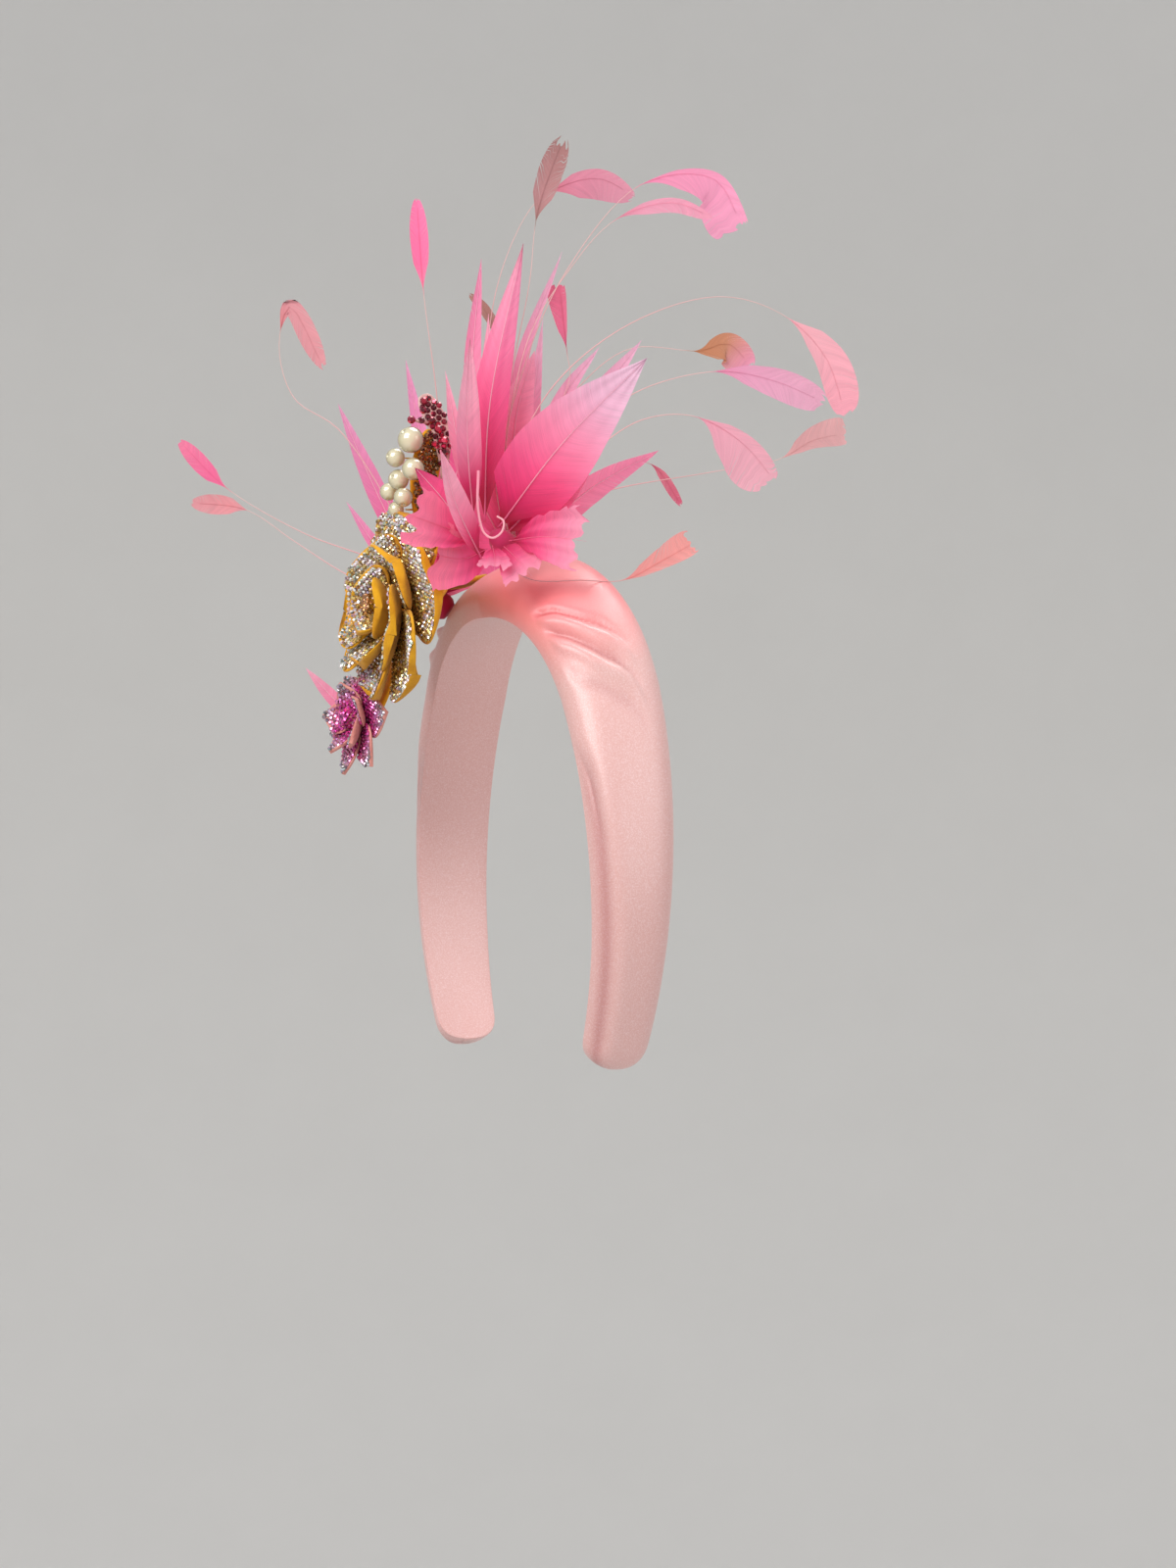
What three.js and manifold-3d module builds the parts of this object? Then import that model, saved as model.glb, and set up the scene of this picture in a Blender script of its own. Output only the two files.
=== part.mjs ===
// Occasion headpiece: a padded satin headband that carries a felt rose, a small felt flower,
// two feather flowers, a sprig of crystals with wired pearls, and stripped feathers.
// Millimetres. +Z is up, -Y is the way the wearer faces, +X is the wearer's left.
// The origin is the inner face of the band at the top of the head.

import * as THREE from "three";
import Module from "manifold-3d";

const wasm = await Module();
wasm.setup();

const DEGREE = Math.PI / 180;
// How far a piece is grown before it is cut from its neighbours, which leaves the gap between them
const CLEARANCE = 0.34;

// The cuts leave slivers, which are merged within this distance
const SMALLEST_STEP = 0.07;

// Feathers are measured in one side view, taken this many degrees round from the front
const VIEW_AZIMUTH = 62;

const BAND = {
  crownRadius: 63,
  crownAngle: 62,
  sideRadius: 150,
  tipAngle: 116.7,
  crownWidth: 41,
  tipWidth: 24,
  crownPad: 14,
  tipPad: 10,
  innerDip: 0.6,
  forwardRoll: 24,
  rollEnds: 0.8,
  crownSet: 2,
  sideSet: 6,
  setReached: 0.35,
  taper: 1.3,
  squareness: 2.7,
  tipLength: 11,
  bluntness: 0.42,
  // Sections along the middle share of each half, and the shares of the ones that round its end
  stations: 30,
  evenShare: 0.955,
  endShares: [0.978, 0.992, 1],
  sides: 16,
};

// Thicknesses
const FELT = 2.2;
const THIN_FELT = 1.6;
const BASE_FELT = 2.6;
const FILM = 1.4;
const BARBS = 0.8;
const QUILL = 1.2;
const PIN = { radius: 0.45, gap: 0.4, belowTip: 6, sides: 4 };
// How much of a blade's thickness is gone at its edges
const EDGE_THINNING = 0.4;
// Widths at the root
const FEATHER_ROOT = 1.6;
const PETAL_ROOT = 3.2;
// How deeply the barbs left at the end of a stripped feather cup
const STRIPPED_CUP = 0.12;

// A cut stone, with each size as a share of its radius
const STONE = { depth: 1.1, foot: 0.4, crown: 0.55, table: 0.55, sides: 5 };

const ROSE = {
  centre: [-10, -46.5, -5],
  lean: 6,
  outer: { count: 6, start: 12, profile: [[6, 0], [21, 2], [36, 0]], width: 41, roll: 12, cup: 0.12 },
  middle: { count: 5, start: 40, profile: [[4.5, 4], [15, 6], [25, 9]], width: 33, roll: 15, cup: 0.2 },
  inner: { count: 3, start: 110, profile: [[3, 6], [8, 10], [12, 13]], width: 20, roll: 14, cup: 0.3 },
  heart: { radius: 3.4, from: -3, to: 14, footShare: 0.7 },
};

const PINK_FLOWER = {
  centre: [-33, -51, -47],
  axis: [0.07, -0.98, 0.1],
  back: { count: 6, start: 8, profile: [[3.4, 0], [12, 1], [23, 0]], width: 14, roll: 12, cup: 0.1 },
  front: { count: 5, start: 30, profile: [[2.6, 3], [9, 7], [15, 10]], width: 11, roll: 14, cup: 0.2 },
  backCentre: { radius: 5, tipRadius: 5, from: -1.4, to: 1.4 },
  frontCentre: { radius: 3.4, tipRadius: 2.2, from: -1.5, to: 9 },
};

// Round pearls: where each sits in the side view, and its radius
const PEARLS = [
  { at: [-41, 57, 22], radius: 4.9 },
  { at: [-47, 51, 16], radius: 3.6 },
  { at: [-46, 43, 14], radius: 3.9 },
  { at: [-40, 46, 24], radius: 4.2 },
  { at: [-50, 39, 8], radius: 3.4 },
  { at: [-44, 36, 18], radius: 3.6 },
  { at: [-47, 32, 12], radius: 3.0 },
];

const LEAF = { spine: [[-36, 14, 3], [-37, 43, 11], [-33, 62, 12]], width: 13, root: 5, roll: 40, cup: 0.1 };

const SPRIG = {
  spine: [[-29, 44, 12], [-30, 60, 13], [-37, 75, 12]],
  arm: [[-33, 64, 13], [-41, 65, 17]],
  armRadius: 0.7,
  width: 9,
  root: 3,
  roll: 10,
};

// Crystals of the sprig: side-view place on the sprig and radius
const CRYSTALS = [
  { at: [-36.5, 72.4, 13.6], radius: 1.5 },
  { at: [-36.8, 69, 13.6], radius: 1.4 },
  { at: [-41, 65, 17.4], radius: 1.6 },
  { at: [-37.4, 65, 15.6], radius: 1.4 },
  { at: [-33.6, 65.2, 14.4], radius: 1.4 },
  { at: [-31, 61.8, 14.4], radius: 1.6 },
  { at: [-34.4, 60.2, 14.4], radius: 1.3 },
  { at: [-29, 57.6, 14.4], radius: 1.5 },
  { at: [-32.4, 56.2, 14.4], radius: 1.3 },
  { at: [-28.6, 53.4, 14], radius: 1.4 },
];

// The feather flower on the wearer's left: spine in the side view, full width, roll about the
// spine in degrees, how deeply the blade cups, and the shape of its end
const NEAR_PETALS = [
  { name: "feather_petal_bottom_small", spine: [[-10, 16, 43], [-9, 11, 49], [-9, 6, 53]],
    width: 13, roll: 0, cup: 0.1, end: "blunt" },
  { name: "feather_petal_bottom", spine: [[-7, 16, 41], [-2, 10, 46], [2, 5, 50]],
    width: 14, roll: -10, cup: 0.1, end: "blunt" },
  { name: "feather_petal_pale_leaf", spine: [[-14, 11, 50], [-23, 30, 60], [-28, 49, 63]],
    width: 12, roll: 48, cup: 0.2, end: "pointed" },
  { name: "feather_petal_left_upper", spine: [[-14, 18, 45], [-27, 22, 53], [-42, 27, 57]],
    width: 20, roll: 12, cup: 0.12, end: "blunt" },
  { name: "feather_petal_left_lower", spine: [[-12, 15, 42], [-20, 9, 47], [-33, 12, 49]],
    width: 22, roll: -14, cup: 0.12, end: "blunt" },
  { name: "feather_petal_right_ruffled", spine: [[-4, 18, 42], [9, 19, 49], [25, 17, 54]],
    width: 25, roll: -8, cup: 0.15, end: "blunt" },
  { name: "feather_petal_right_large", spine: [[-8, 23, 40], [16, 53, 52], [46, 82, 62]],
    width: 30, roll: 10, cup: 0.16, end: "spear" },
  { name: "feather_petal_right_under", spine: [[-5, 21, 37], [11, 37, 42], [29, 53, 45]],
    width: 21, roll: -6, cup: 0.14, end: "pointed" },
  { name: "feather_petal_dark_tip", spine: [[-19, 21, 40], [-29, 34, 46], [-38, 44, 48]],
    width: 11, roll: 10, cup: 0.1, end: "pointed" },
  { name: "feather_petal_narrow_pale", spine: [[-17, 25, 44], [-19, 54, 48], [-18, 91, 47]],
    width: 11, roll: 35, cup: 0.12, end: "pointed" },
  { name: "feather_petal_tall", spine: [[-13, 25, 40], [-11, 69, 38], [1, 128, 32]],
    width: 14, roll: -10, cup: 0.18, end: "spear" },
];

// The spiky feathers behind those petals, bound together into one spray
const NEAR_SPIKES = [
  { spine: [[-1, 14, 29], [25, 38, 26], [51, 53, 22]], width: 12, roll: 30, cup: 0.2, end: "pointed" },
  { spine: [[-4, 16, 30], [-15, 50, 26], [-18, 82, 22], [-15, 125, 16]],
    width: 8, roll: 0, cup: 0.2, end: "pointed" },
  { spine: [[-2, 15, 28], [-1, 82, 18], [15, 129, 8]], width: 6, roll: 20, cup: 0.2, end: "pointed" },
  { spine: [[-3, 16, 31], [-2, 63, 27], [5, 90, 22]], width: 16, roll: 0, cup: 0.15, end: "pointed" },
  { spine: [[-1, 15, 28], [15, 72, 17], [29, 93, 10]], width: 9, roll: 10, cup: 0.2, end: "pointed" },
  { spine: [[0, 13, 27], [25, 69, 8], [45, 97, 0]], width: 12, roll: 10, cup: 0.2, end: "pointed" },
  { spine: [[-5, 15, 30], [-21, 48, 30], [-28, 82, 26]], width: 8, roll: 10, cup: 0.2, end: "spear" },
  { spine: [[-4, 15, 31], [-12, 60, 31], [-12, 103, 27]], width: 9, roll: -15, cup: 0.2, end: "spear" },
  { spine: [[-2, 15, 29], [3, 60, 22], [8, 103, 14]], width: 8, roll: 15, cup: 0.2, end: "spear" },
];

// The feather flower on the wearer's right, which the rose and the other feathers mostly hide
const FAR_PETALS = [
  { spine: [[-37, 1, -30], [-59, 46, -36], [-73, 78, -42]], width: 9, roll: 20, cup: 0.2, end: "pointed" },
  { spine: [[-36, 2, -30], [-39, 55, -32], [-46, 94, -34]], width: 8, roll: 0, cup: 0.2, end: "pointed" },
  { spine: [[-37, 1, -30], [-57, 21, -40], [-70, 40, -46]], width: 6, roll: 20, cup: 0.2, end: "pointed" },
  { spine: [[-36, 0, -30], [-56, 2, -38], [-68, 4, -44]], width: 11, roll: 30, cup: 0.2, end: "blunt" },
  { spine: [[-35, 2, -30], [-28, 44, -42], [-22, 76, -52]], width: 18, roll: 0, cup: 0.2, end: "pointed" },
  { spine: [[-34, 1, -31], [-19, 29, -48], [-6, 54, -62]], width: 20, roll: 10, cup: 0.2, end: "pointed" },
  { spine: [[-34, 0, -31], [-22, 13, -54], [-7, 22, -72]], width: 18, roll: 0, cup: 0.2, end: "blunt" },
  { spine: [[-36, 0, -31], [-44, 8, -54], [-46, 18, -72]], width: 18, roll: 0, cup: 0.2, end: "blunt" },
];

// Feathers stripped to a bare quill with barbs left at the end: spine in the side view, width of
// the barbs, roll, the share of the length that is bare, how much wider the barbs are on one side of
// the quill than on the other, and the shape of their end
const STRIPPED = [
  { spine: [[-5, 19, 31], [-9, 40, 31], [-4, 78, 28], [3, 115, 22], [6, 142, 18], [16, 172, 14]],
    width: 10, roll: 20, bare: 0.77, skew: 0, end: "leaf" },
  { spine: [[-5, 18, 27], [-13, 50, 18], [-10, 114, 5], [4, 149, -5], [13, 156, -8], [29, 160, -10],
      [43, 153, -10]],
    width: 9, roll: 0, bare: 0.8, skew: 0.5, end: "leaf" },
  { spine: [[-4, 20, 32], [-8, 40, 34], [0, 79, 30], [16, 118, 24], [45, 153, 16], [72, 156, 10],
      [83, 139, 4]],
    width: 16, roll: 0, bare: 0.74, skew: 0.6, end: "wedge" },
  { spine: [[-3, 21, 33], [-6, 45, 36], [3, 93, 34], [18, 119, 30], [35, 138, 26], [56, 145, 22],
      [72, 140, 18]],
    width: 6, roll: 30, bare: 0.76, skew: 0.3, end: "leaf" },
  { spine: [[-2, 20, 32], [-4, 40, 35], [10, 73, 32], [39, 99, 24], [74, 111, 16], [98, 105, 10],
      [114, 90, 6], [122, 68, 3]],
    width: 13, roll: 0, bare: 0.78, skew: -0.2, end: "barbs" },
  { spine: [[-3, 17, 25], [-2, 42, 10], [21, 80, -8], [41, 96, -16], [68, 96, -22], [79, 99, -24],
      [88, 90, -26]],
    width: 13, roll: 0, bare: 0.82, skew: 0.3, end: "barbs" },
  { spine: [[-2, 18, 27], [0, 38, 24], [25, 61, 18], [43, 76, 12], [74, 85, 2], [95, 82, -2],
      [115, 74, -5]],
    width: 12, roll: 10, bare: 0.7, skew: 0.1, end: "barbs" },
  { spine: [[-1, 18, 30], [5, 32, 33], [28, 53, 30], [45, 64, 26], [64, 66, 20], [82, 57, 14], [95, 43, 8]],
    width: 17, roll: 0, bare: 0.69, skew: 0.5, end: "barbs" },
  { spine: [[-1, 16, 25], [6, 30, 14], [33, 40, 4], [71, 48, -10], [98, 54, -20], [112, 62, -25],
      [125, 65, -28]],
    width: 11, roll: 0, bare: 0.8, skew: -0.2, end: "wedge" },
  { spine: [[-1, 15, 24], [6, 30, 14], [29, 47, 4], [48, 51, -5], [61, 35, -12]],
    width: 4, roll: 20, bare: 0.76, skew: 0, end: "leaf" },
  { spine: [[-4, 9, 31], [5, 4, 36], [22, 4, 36], [38, 5, 22], [53, 13, 14], [65, 20, 10]],
    width: 10, roll: 0, bare: 0.58, skew: -0.2, end: "wedge" },
  { spine: [[-33, 24, 3], [-30, 50, 8], [-32, 76, 10], [-37, 114, 6], [-40, 151, 0]],
    width: 7, roll: 0, bare: 0.71, skew: 0, end: "leaf" },
  { spine: [[-3, 18, 27], [5, 49, 20], [18, 81, 16], [17, 90, 14], [14, 117, 8]],
    width: 7, roll: 0, bare: 0.74, skew: -0.4, end: "wedge" },
  { spine: [[-40, 4, -31], [-49, 31, -29], [-72, 67, -35], [-90, 80, -40], [-96, 100, -42],
      [-92, 116, -42], [-78, 91, -40]],
    width: 8, roll: 0, bare: 0.75, skew: 0, end: "leaf" },
  { spine: [[-40, 3, -32], [-55, 15, -38], [-87, 28, -50], [-119, 47, -60], [-138, 66, -62]],
    width: 7, roll: 0, bare: 0.77, skew: 0, end: "leaf" },
  { spine: [[-40, 1, -31], [-52, 3, -34], [-71, 12, -42], [-91, 25, -52], [-111, 38, -58], [-133, 41, -60]],
    width: 8, roll: 0, bare: 0.78, skew: 0, end: "leaf" },
  { spine: [[-5, 18, 26], [-14, 51, 10], [-9, 97, -8], [-14, 109, -10], [-21, 117, -12]],
    width: 5, roll: 30, bare: 0.77, skew: 0, end: "leaf" },
];

const CURLED_QUILL = [
  [-15, 43, 47], [-15, 29, 51], [-12.7, 20, 54], [-9.5, 18, 56], [-6.4, 20, 56], [-5.6, 24, 55], [-8, 26, 53],
];

const LOOSE_PINK_FEATHER = {
  spine: [[-61, -49, -16], [-73, -38, -21], [-84, -26, -24]], width: 6, roll: 20, cup: 0.1, end: "pointed",
};

// The felt under the flowers: one strip carries the rose, the other the small flower below it
const FELT_BASE = {
  facing: [0, -0.6, 0.8],
  rootShare: 0.7,
  strips: [
    { spine: [[-38, -2, 8], [-31, -22, 4], [-14, -39, -8]], width: 24 },
    { spine: [[-24, -34, -8], [-29, -40, -26], [-33, -46, -44]], width: 14 },
  ],
};

const COLOURS = {
  satin: 0xeab9b2,
  felt: 0xd89a1c,
  pinkFelt: 0xd98f84,
  stones: 0xb8934a,
  pinkStones: 0xc03d8d,
  crystal: 0x7a1f33,
  pearl: 0xf0ead6,
  feather: 0xff7fae,
  stripped: 0xf29ab2,
};

function material(colour, roughness, metalness = 0) {
  return new THREE.MeshStandardMaterial({ color: colour, roughness, metalness });
}

const MATERIALS = {
  satin: material(COLOURS.satin, 0.35),
  felt: material(COLOURS.felt, 0.95),
  pinkFelt: material(COLOURS.pinkFelt, 0.95),
  stones: material(COLOURS.stones, 0.2, 0.6),
  pinkStones: material(COLOURS.pinkStones, 0.2, 0.6),
  crystal: material(COLOURS.crystal, 0.1, 0.3),
  pearl: material(COLOURS.pearl, 0.2),
  feather: material(COLOURS.feather, 0.7),
  stripped: material(COLOURS.stripped, 0.7),
};

// Measuring in the side view

const VIEW_ACROSS = new THREE.Vector3(Math.cos(VIEW_AZIMUTH * DEGREE), Math.sin(VIEW_AZIMUTH * DEGREE), 0);
const VIEW_NEAR = new THREE.Vector3(Math.sin(VIEW_AZIMUTH * DEGREE), -Math.cos(VIEW_AZIMUTH * DEGREE), 0);

function seen([across, up, near]) {
  const point = new THREE.Vector3(0, 0, up);
  point.addScaledVector(VIEW_ACROSS, across);
  point.addScaledVector(VIEW_NEAR, near);
  return point;
}

function vector([x, y, z]) {
  return new THREE.Vector3(x, y, z);
}

// Solids

function solidFrom(points, triangles) {
  const vertProperties = new Float32Array(points.flatMap((p) => [p.x, p.y, p.z]));
  const triVerts = new Uint32Array(triangles.flat());
  return new wasm.Manifold(new wasm.Mesh({ numProp: 3, vertProperties, triVerts }));
}

// A closed solid through a row of closed sections, each a ring of points turning the same way
function loft(sections) {
  const sides = sections[0].length;
  const points = sections.flat();
  const triangles = [];
  for (let row = 0; row < sections.length - 1; row += 1) {
    for (let side = 0; side < sides; side += 1) {
      const next = (side + 1) % sides;
      const [a, b] = [row * sides + side, row * sides + next];
      const [c, d] = [a + sides, b + sides];
      triangles.push([a, b, d], [a, d, c]);
    }
  }
  for (const row of [0, sections.length - 1]) {
    const middle = new THREE.Vector3();
    sections[row].forEach((p) => middle.addScaledVector(p, 1 / sides));
    const hub = points.push(middle) - 1;
    for (let side = 0; side < sides; side += 1) {
      const [a, b] = [row * sides + side, row * sides + (side + 1) % sides];
      triangles.push(row === 0 ? [hub, b, a] : [hub, a, b]);
    }
  }
  return outward(points, triangles);
}

function outward(points, triangles) {
  let volume = 0;
  for (const [a, b, c] of triangles) {
    volume += points[a].dot(new THREE.Vector3().crossVectors(points[b], points[c]));
  }
  const turned = volume > 0 ? triangles : triangles.map(([a, b, c]) => [a, c, b]);
  return solidFrom(points, turned);
}

// Blade outlines: half-width as a share of the widest, from root (0) to tip (1)
function rise(share, towardRoot, towardTip) {
  const peak = towardRoot / (towardRoot + towardTip);
  const shape = (s) => s ** towardRoot * (1 - s) ** towardTip;
  return shape(share) / shape(peak);
}

const OUTLINES = {
  pointed: (s) => rise(s, 0.7, 1.0),
  blunt: (s) => rise(s, 0.9, 0.16),
  round: (s) => rise(s, 0.8, 0.32),
  spear: (s) => rise(s, 0.6, 1.1),
  barbs: (s) => rise(s, 1.0, 0.42),
  leaf: (s) => rise(s, 0.8, 0.6),
  wedge: (s) => rise(s, 1.0, 0.16),
};

// A blade: a thin solid along a spine, as wide as its outline, cupped toward the way it faces. The
// skew makes it wider on one side of the spine than on the other.
function blade(shape, grow = 0) {
  const { spine, facing, roll = 0, width, root, cup = 0, skew = 0, thick, outline, rows, columns } = shape;
  const curve = new THREE.CatmullRomCurve3(spine, false, "centripetal");
  const front = [];
  const back = [];
  for (const share of rows) {
    const centre = curve.getPointAt(share);
    const along = curve.getTangentAt(share);
    if (share === 0) centre.addScaledVector(along, -grow);
    if (share === 1) centre.addScaledVector(along, grow);
    const across = new THREE.Vector3().crossVectors(along, facing).normalize();
    across.applyAxisAngle(along, roll * DEGREE);
    const outwardWay = new THREE.Vector3().crossVectors(across, along);
    const half = Math.max(root / 2, (width / 2) * outline(share)) + grow;
    for (let column = 0; column <= columns; column += 1) {
      const side = (2 * column) / columns - 1;
      const lift = cup * half * side * side;
      const body = thick * (1 - EDGE_THINNING * side * side) / 2 + grow;
      const place = centre.clone().addScaledVector(across, half * side * (1 + skew * Math.sign(side)));
      front.push(place.clone().addScaledVector(outwardWay, lift + body));
      back.push(place.clone().addScaledVector(outwardWay, lift - body));
    }
  }
  return plate(front, back, rows.length, columns + 1);
}

// A closed plate between two grids of points
function plate(front, back, rows, columns) {
  const offset = front.length;
  const at = (row, column) => row * columns + column;
  const triangles = [];
  const quad = (a, b, c, d) => triangles.push([a, b, c], [a, c, d]);
  for (let row = 0; row < rows - 1; row += 1) {
    for (let column = 0; column < columns - 1; column += 1) {
      const corners = [at(row, column), at(row, column + 1), at(row + 1, column + 1), at(row + 1, column)];
      quad(...corners);
      quad(...corners.map((index) => index + offset).reverse());
    }
    const left = [at(row, 0), at(row + 1, 0)];
    const right = [at(row, columns - 1), at(row + 1, columns - 1)];
    quad(left[0], left[1], left[1] + offset, left[0] + offset);
    quad(right[1], right[0], right[0] + offset, right[1] + offset);
  }
  for (let column = 0; column < columns - 1; column += 1) {
    const start = [at(0, column), at(0, column + 1)];
    const finish = [at(rows - 1, column), at(rows - 1, column + 1)];
    quad(start[1], start[0], start[0] + offset, start[1] + offset);
    quad(finish[0], finish[1], finish[1] + offset, finish[0] + offset);
  }
  return outward([...front, ...back], triangles);
}

function evenRows(count, from = 0, to = 1) {
  return Array.from({ length: count + 1 }, (_, index) => from + ((to - from) * index) / count);
}

function ball(centre, radius, around, rings, grow = 0) {
  const size = radius + grow;
  const points = [new THREE.Vector3(0, size, 0)];
  const triangles = [];
  for (let ring = 1; ring < rings; ring += 1) {
    const down = (Math.PI * ring) / rings;
    for (let step = 0; step < around; step += 1) {
      const turn = (2 * Math.PI * (step + (ring % 2) / 2)) / around;
      points.push(new THREE.Vector3().setFromSphericalCoords(size, down, turn));
    }
  }
  const foot = points.push(new THREE.Vector3(0, -size, 0)) - 1;
  const at = (ring, step) => 1 + (ring - 1) * around + (step % around);
  for (let step = 0; step < around; step += 1) {
    triangles.push([0, at(1, step), at(1, step + 1)]);
    triangles.push([foot, at(rings - 1, step + 1), at(rings - 1, step)]);
    for (let ring = 1; ring < rings - 1; ring += 1) {
      const [a, b] = [at(ring, step), at(ring, step + 1)];
      const [c, d] = [at(ring + 1, step), at(ring + 1, step + 1)];
      triangles.push([a, c, d], [a, d, b]);
    }
  }
  points.forEach((point) => point.add(centre));
  return outward(points, triangles);
}

// A plain round rod or cone between two points
function rod(from, to, startRadius, endRadius, sides) {
  const along = to.clone().sub(from).normalize();
  const helper = Math.abs(along.z) > 0.9 ? new THREE.Vector3(1, 0, 0) : new THREE.Vector3(0, 0, 1);
  const first = new THREE.Vector3().crossVectors(along, helper).normalize();
  const second = new THREE.Vector3().crossVectors(along, first);
  const ring = (centre, radius) => Array.from({ length: sides }, (_, step) => {
    const turn = (2 * Math.PI * step) / sides;
    const place = centre.clone().addScaledVector(first, radius * Math.cos(turn));
    return place.addScaledVector(second, radius * Math.sin(turn));
  });
  return loft([ring(from, startRadius), ring(to, endRadius)]);
}

// A cut stone: a flat table, a sloped crown, and a shorter pavilion that sinks into its setting
function cutStone(centre, axis, radius) {
  const helper = Math.abs(axis.z) > 0.9 ? new THREE.Vector3(1, 0, 0) : new THREE.Vector3(0, 0, 1);
  const first = new THREE.Vector3().crossVectors(axis, helper).normalize();
  const second = new THREE.Vector3().crossVectors(axis, first);
  const ring = (height, size) => Array.from({ length: STONE.sides }, (_, step) => {
    const turn = (2 * Math.PI * step) / STONE.sides;
    const place = centre.clone().addScaledVector(axis, height * radius);
    place.addScaledVector(first, size * radius * Math.cos(turn));
    return place.addScaledVector(second, size * radius * Math.sin(turn));
  });
  return loft([ring(-STONE.depth, STONE.foot), ring(0, 1), ring(STONE.crown, STONE.table)]);
}

// The padded satin band

function bandLength(angle) {
  const crown = BAND.crownAngle * DEGREE;
  return BAND.crownRadius * Math.min(angle, crown) + BAND.sideRadius * Math.max(0, angle - crown);
}

function bandAngle(length) {
  const crown = BAND.crownAngle * DEGREE;
  const crownLength = BAND.crownRadius * crown;
  return length <= crownLength ? length / BAND.crownRadius : crown + (length - crownLength) / BAND.sideRadius;
}

function bandInnerPoint(angle) {
  const crown = BAND.crownAngle * DEGREE;
  const inCrown = Math.min(angle, crown);
  const x = BAND.crownRadius * Math.sin(inCrown) + BAND.sideRadius * (Math.sin(angle) - Math.sin(inCrown));
  const crownDrop = BAND.crownRadius * (1 - Math.cos(inCrown));
  const sideDrop = BAND.sideRadius * (Math.cos(inCrown) - Math.cos(angle));
  return [x, -crownDrop - sideDrop];
}

function bandSection(signedLength, grow) {
  const total = bandLength(BAND.tipAngle * DEGREE);
  const length = Math.abs(signedLength);
  const way = signedLength < 0 ? -1 : 1;
  const angle = bandAngle(length);
  const share = length / total;
  const [x, z] = bandInnerPoint(angle);
  const toTip = Math.min(1, Math.max(0, (total - length) / BAND.tipLength));
  const rounding = Math.max(BAND.bluntness, (1 - (1 - toTip) ** BAND.squareness) ** (1 / BAND.squareness));
  const width = (BAND.crownWidth + (BAND.tipWidth - BAND.crownWidth) * share ** BAND.taper) * rounding;
  const pad = (BAND.crownPad + (BAND.tipPad - BAND.crownPad) * share) * Math.sqrt(rounding);
  const set = BAND.crownSet + (BAND.sideSet - BAND.crownSet) * Math.min(1, share / BAND.setReached);
  const roll = BAND.forwardRoll * DEGREE * (1 - Math.min(1, share / BAND.rollEnds));
  const out = new THREE.Vector3(way * Math.sin(angle), 0, Math.cos(angle));
  const back = new THREE.Vector3(0, 1, 0);
  const across = back.clone().multiplyScalar(Math.cos(roll)).addScaledVector(out, Math.sin(roll));
  const away = out.clone().multiplyScalar(Math.cos(roll)).addScaledVector(back, -Math.sin(roll));
  const centre = new THREE.Vector3(way * x, set, z);
  return Array.from({ length: BAND.sides }, (_, step) => {
    const turn = (2 * Math.PI * step) / BAND.sides;
    const power = 2 / BAND.squareness;
    const sideways = Math.sign(Math.cos(turn)) * Math.abs(Math.cos(turn)) ** power;
    const upward = Math.sign(Math.sin(turn)) * Math.abs(Math.sin(turn)) ** power;
    const height = upward >= 0 ? pad + grow : BAND.innerDip + grow;
    const point = centre.clone().addScaledVector(across, (width / 2 + grow) * sideways);
    return point.addScaledVector(away, height * upward);
  });
}

function band(grow = 0) {
  const total = bandLength(BAND.tipAngle * DEGREE) + grow;
  const middle = evenRows(BAND.stations, -BAND.evenShare, BAND.evenShare);
  const farEnd = BAND.endShares.map((share) => -share).reverse();
  return loft([...farEnd, ...middle, ...BAND.endShares].map((share) => bandSection(total * share, grow)));
}

// Petals standing in a ring round a flower's axis

function flowerFrame(centre, axis) {
  const front = axis.clone().normalize();
  const right = new THREE.Vector3(1, 0, 0).addScaledVector(front, -front.x).normalize();
  const up = new THREE.Vector3().crossVectors(front, right);
  return { centre, front, right, up };
}

function ringPetal(frame, layer, index, thick, outline, columns, grow) {
  const turn = (layer.start + (360 * index) / layer.count) * DEGREE;
  const radial = frame.right.clone().multiplyScalar(Math.cos(turn)).addScaledVector(frame.up, Math.sin(turn));
  const spine = layer.profile.map(([radius, forward]) => {
    const place = frame.centre.clone().addScaledVector(radial, radius);
    return place.addScaledVector(frame.front, forward);
  });
  return blade({
    spine, facing: frame.front, roll: layer.roll, width: layer.width, root: PETAL_ROOT, cup: layer.cup,
    thick, outline, rows: evenRows(4), columns,
  }, grow);
}

// The pieces, in the order that they are built up. A piece made later gives way to those before it.

const pieces = [];

function add(name, look, make) {
  pieces.push({ name, look, make });
}

const rose = flowerFrame(
  vector(ROSE.centre),
  new THREE.Vector3(0, -Math.cos(ROSE.lean * DEGREE), Math.sin(ROSE.lean * DEGREE)),
);
const pinkFlower = flowerFrame(vector(PINK_FLOWER.centre), vector(PINK_FLOWER.axis));

add("satin_headband", "satin", band);

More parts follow.
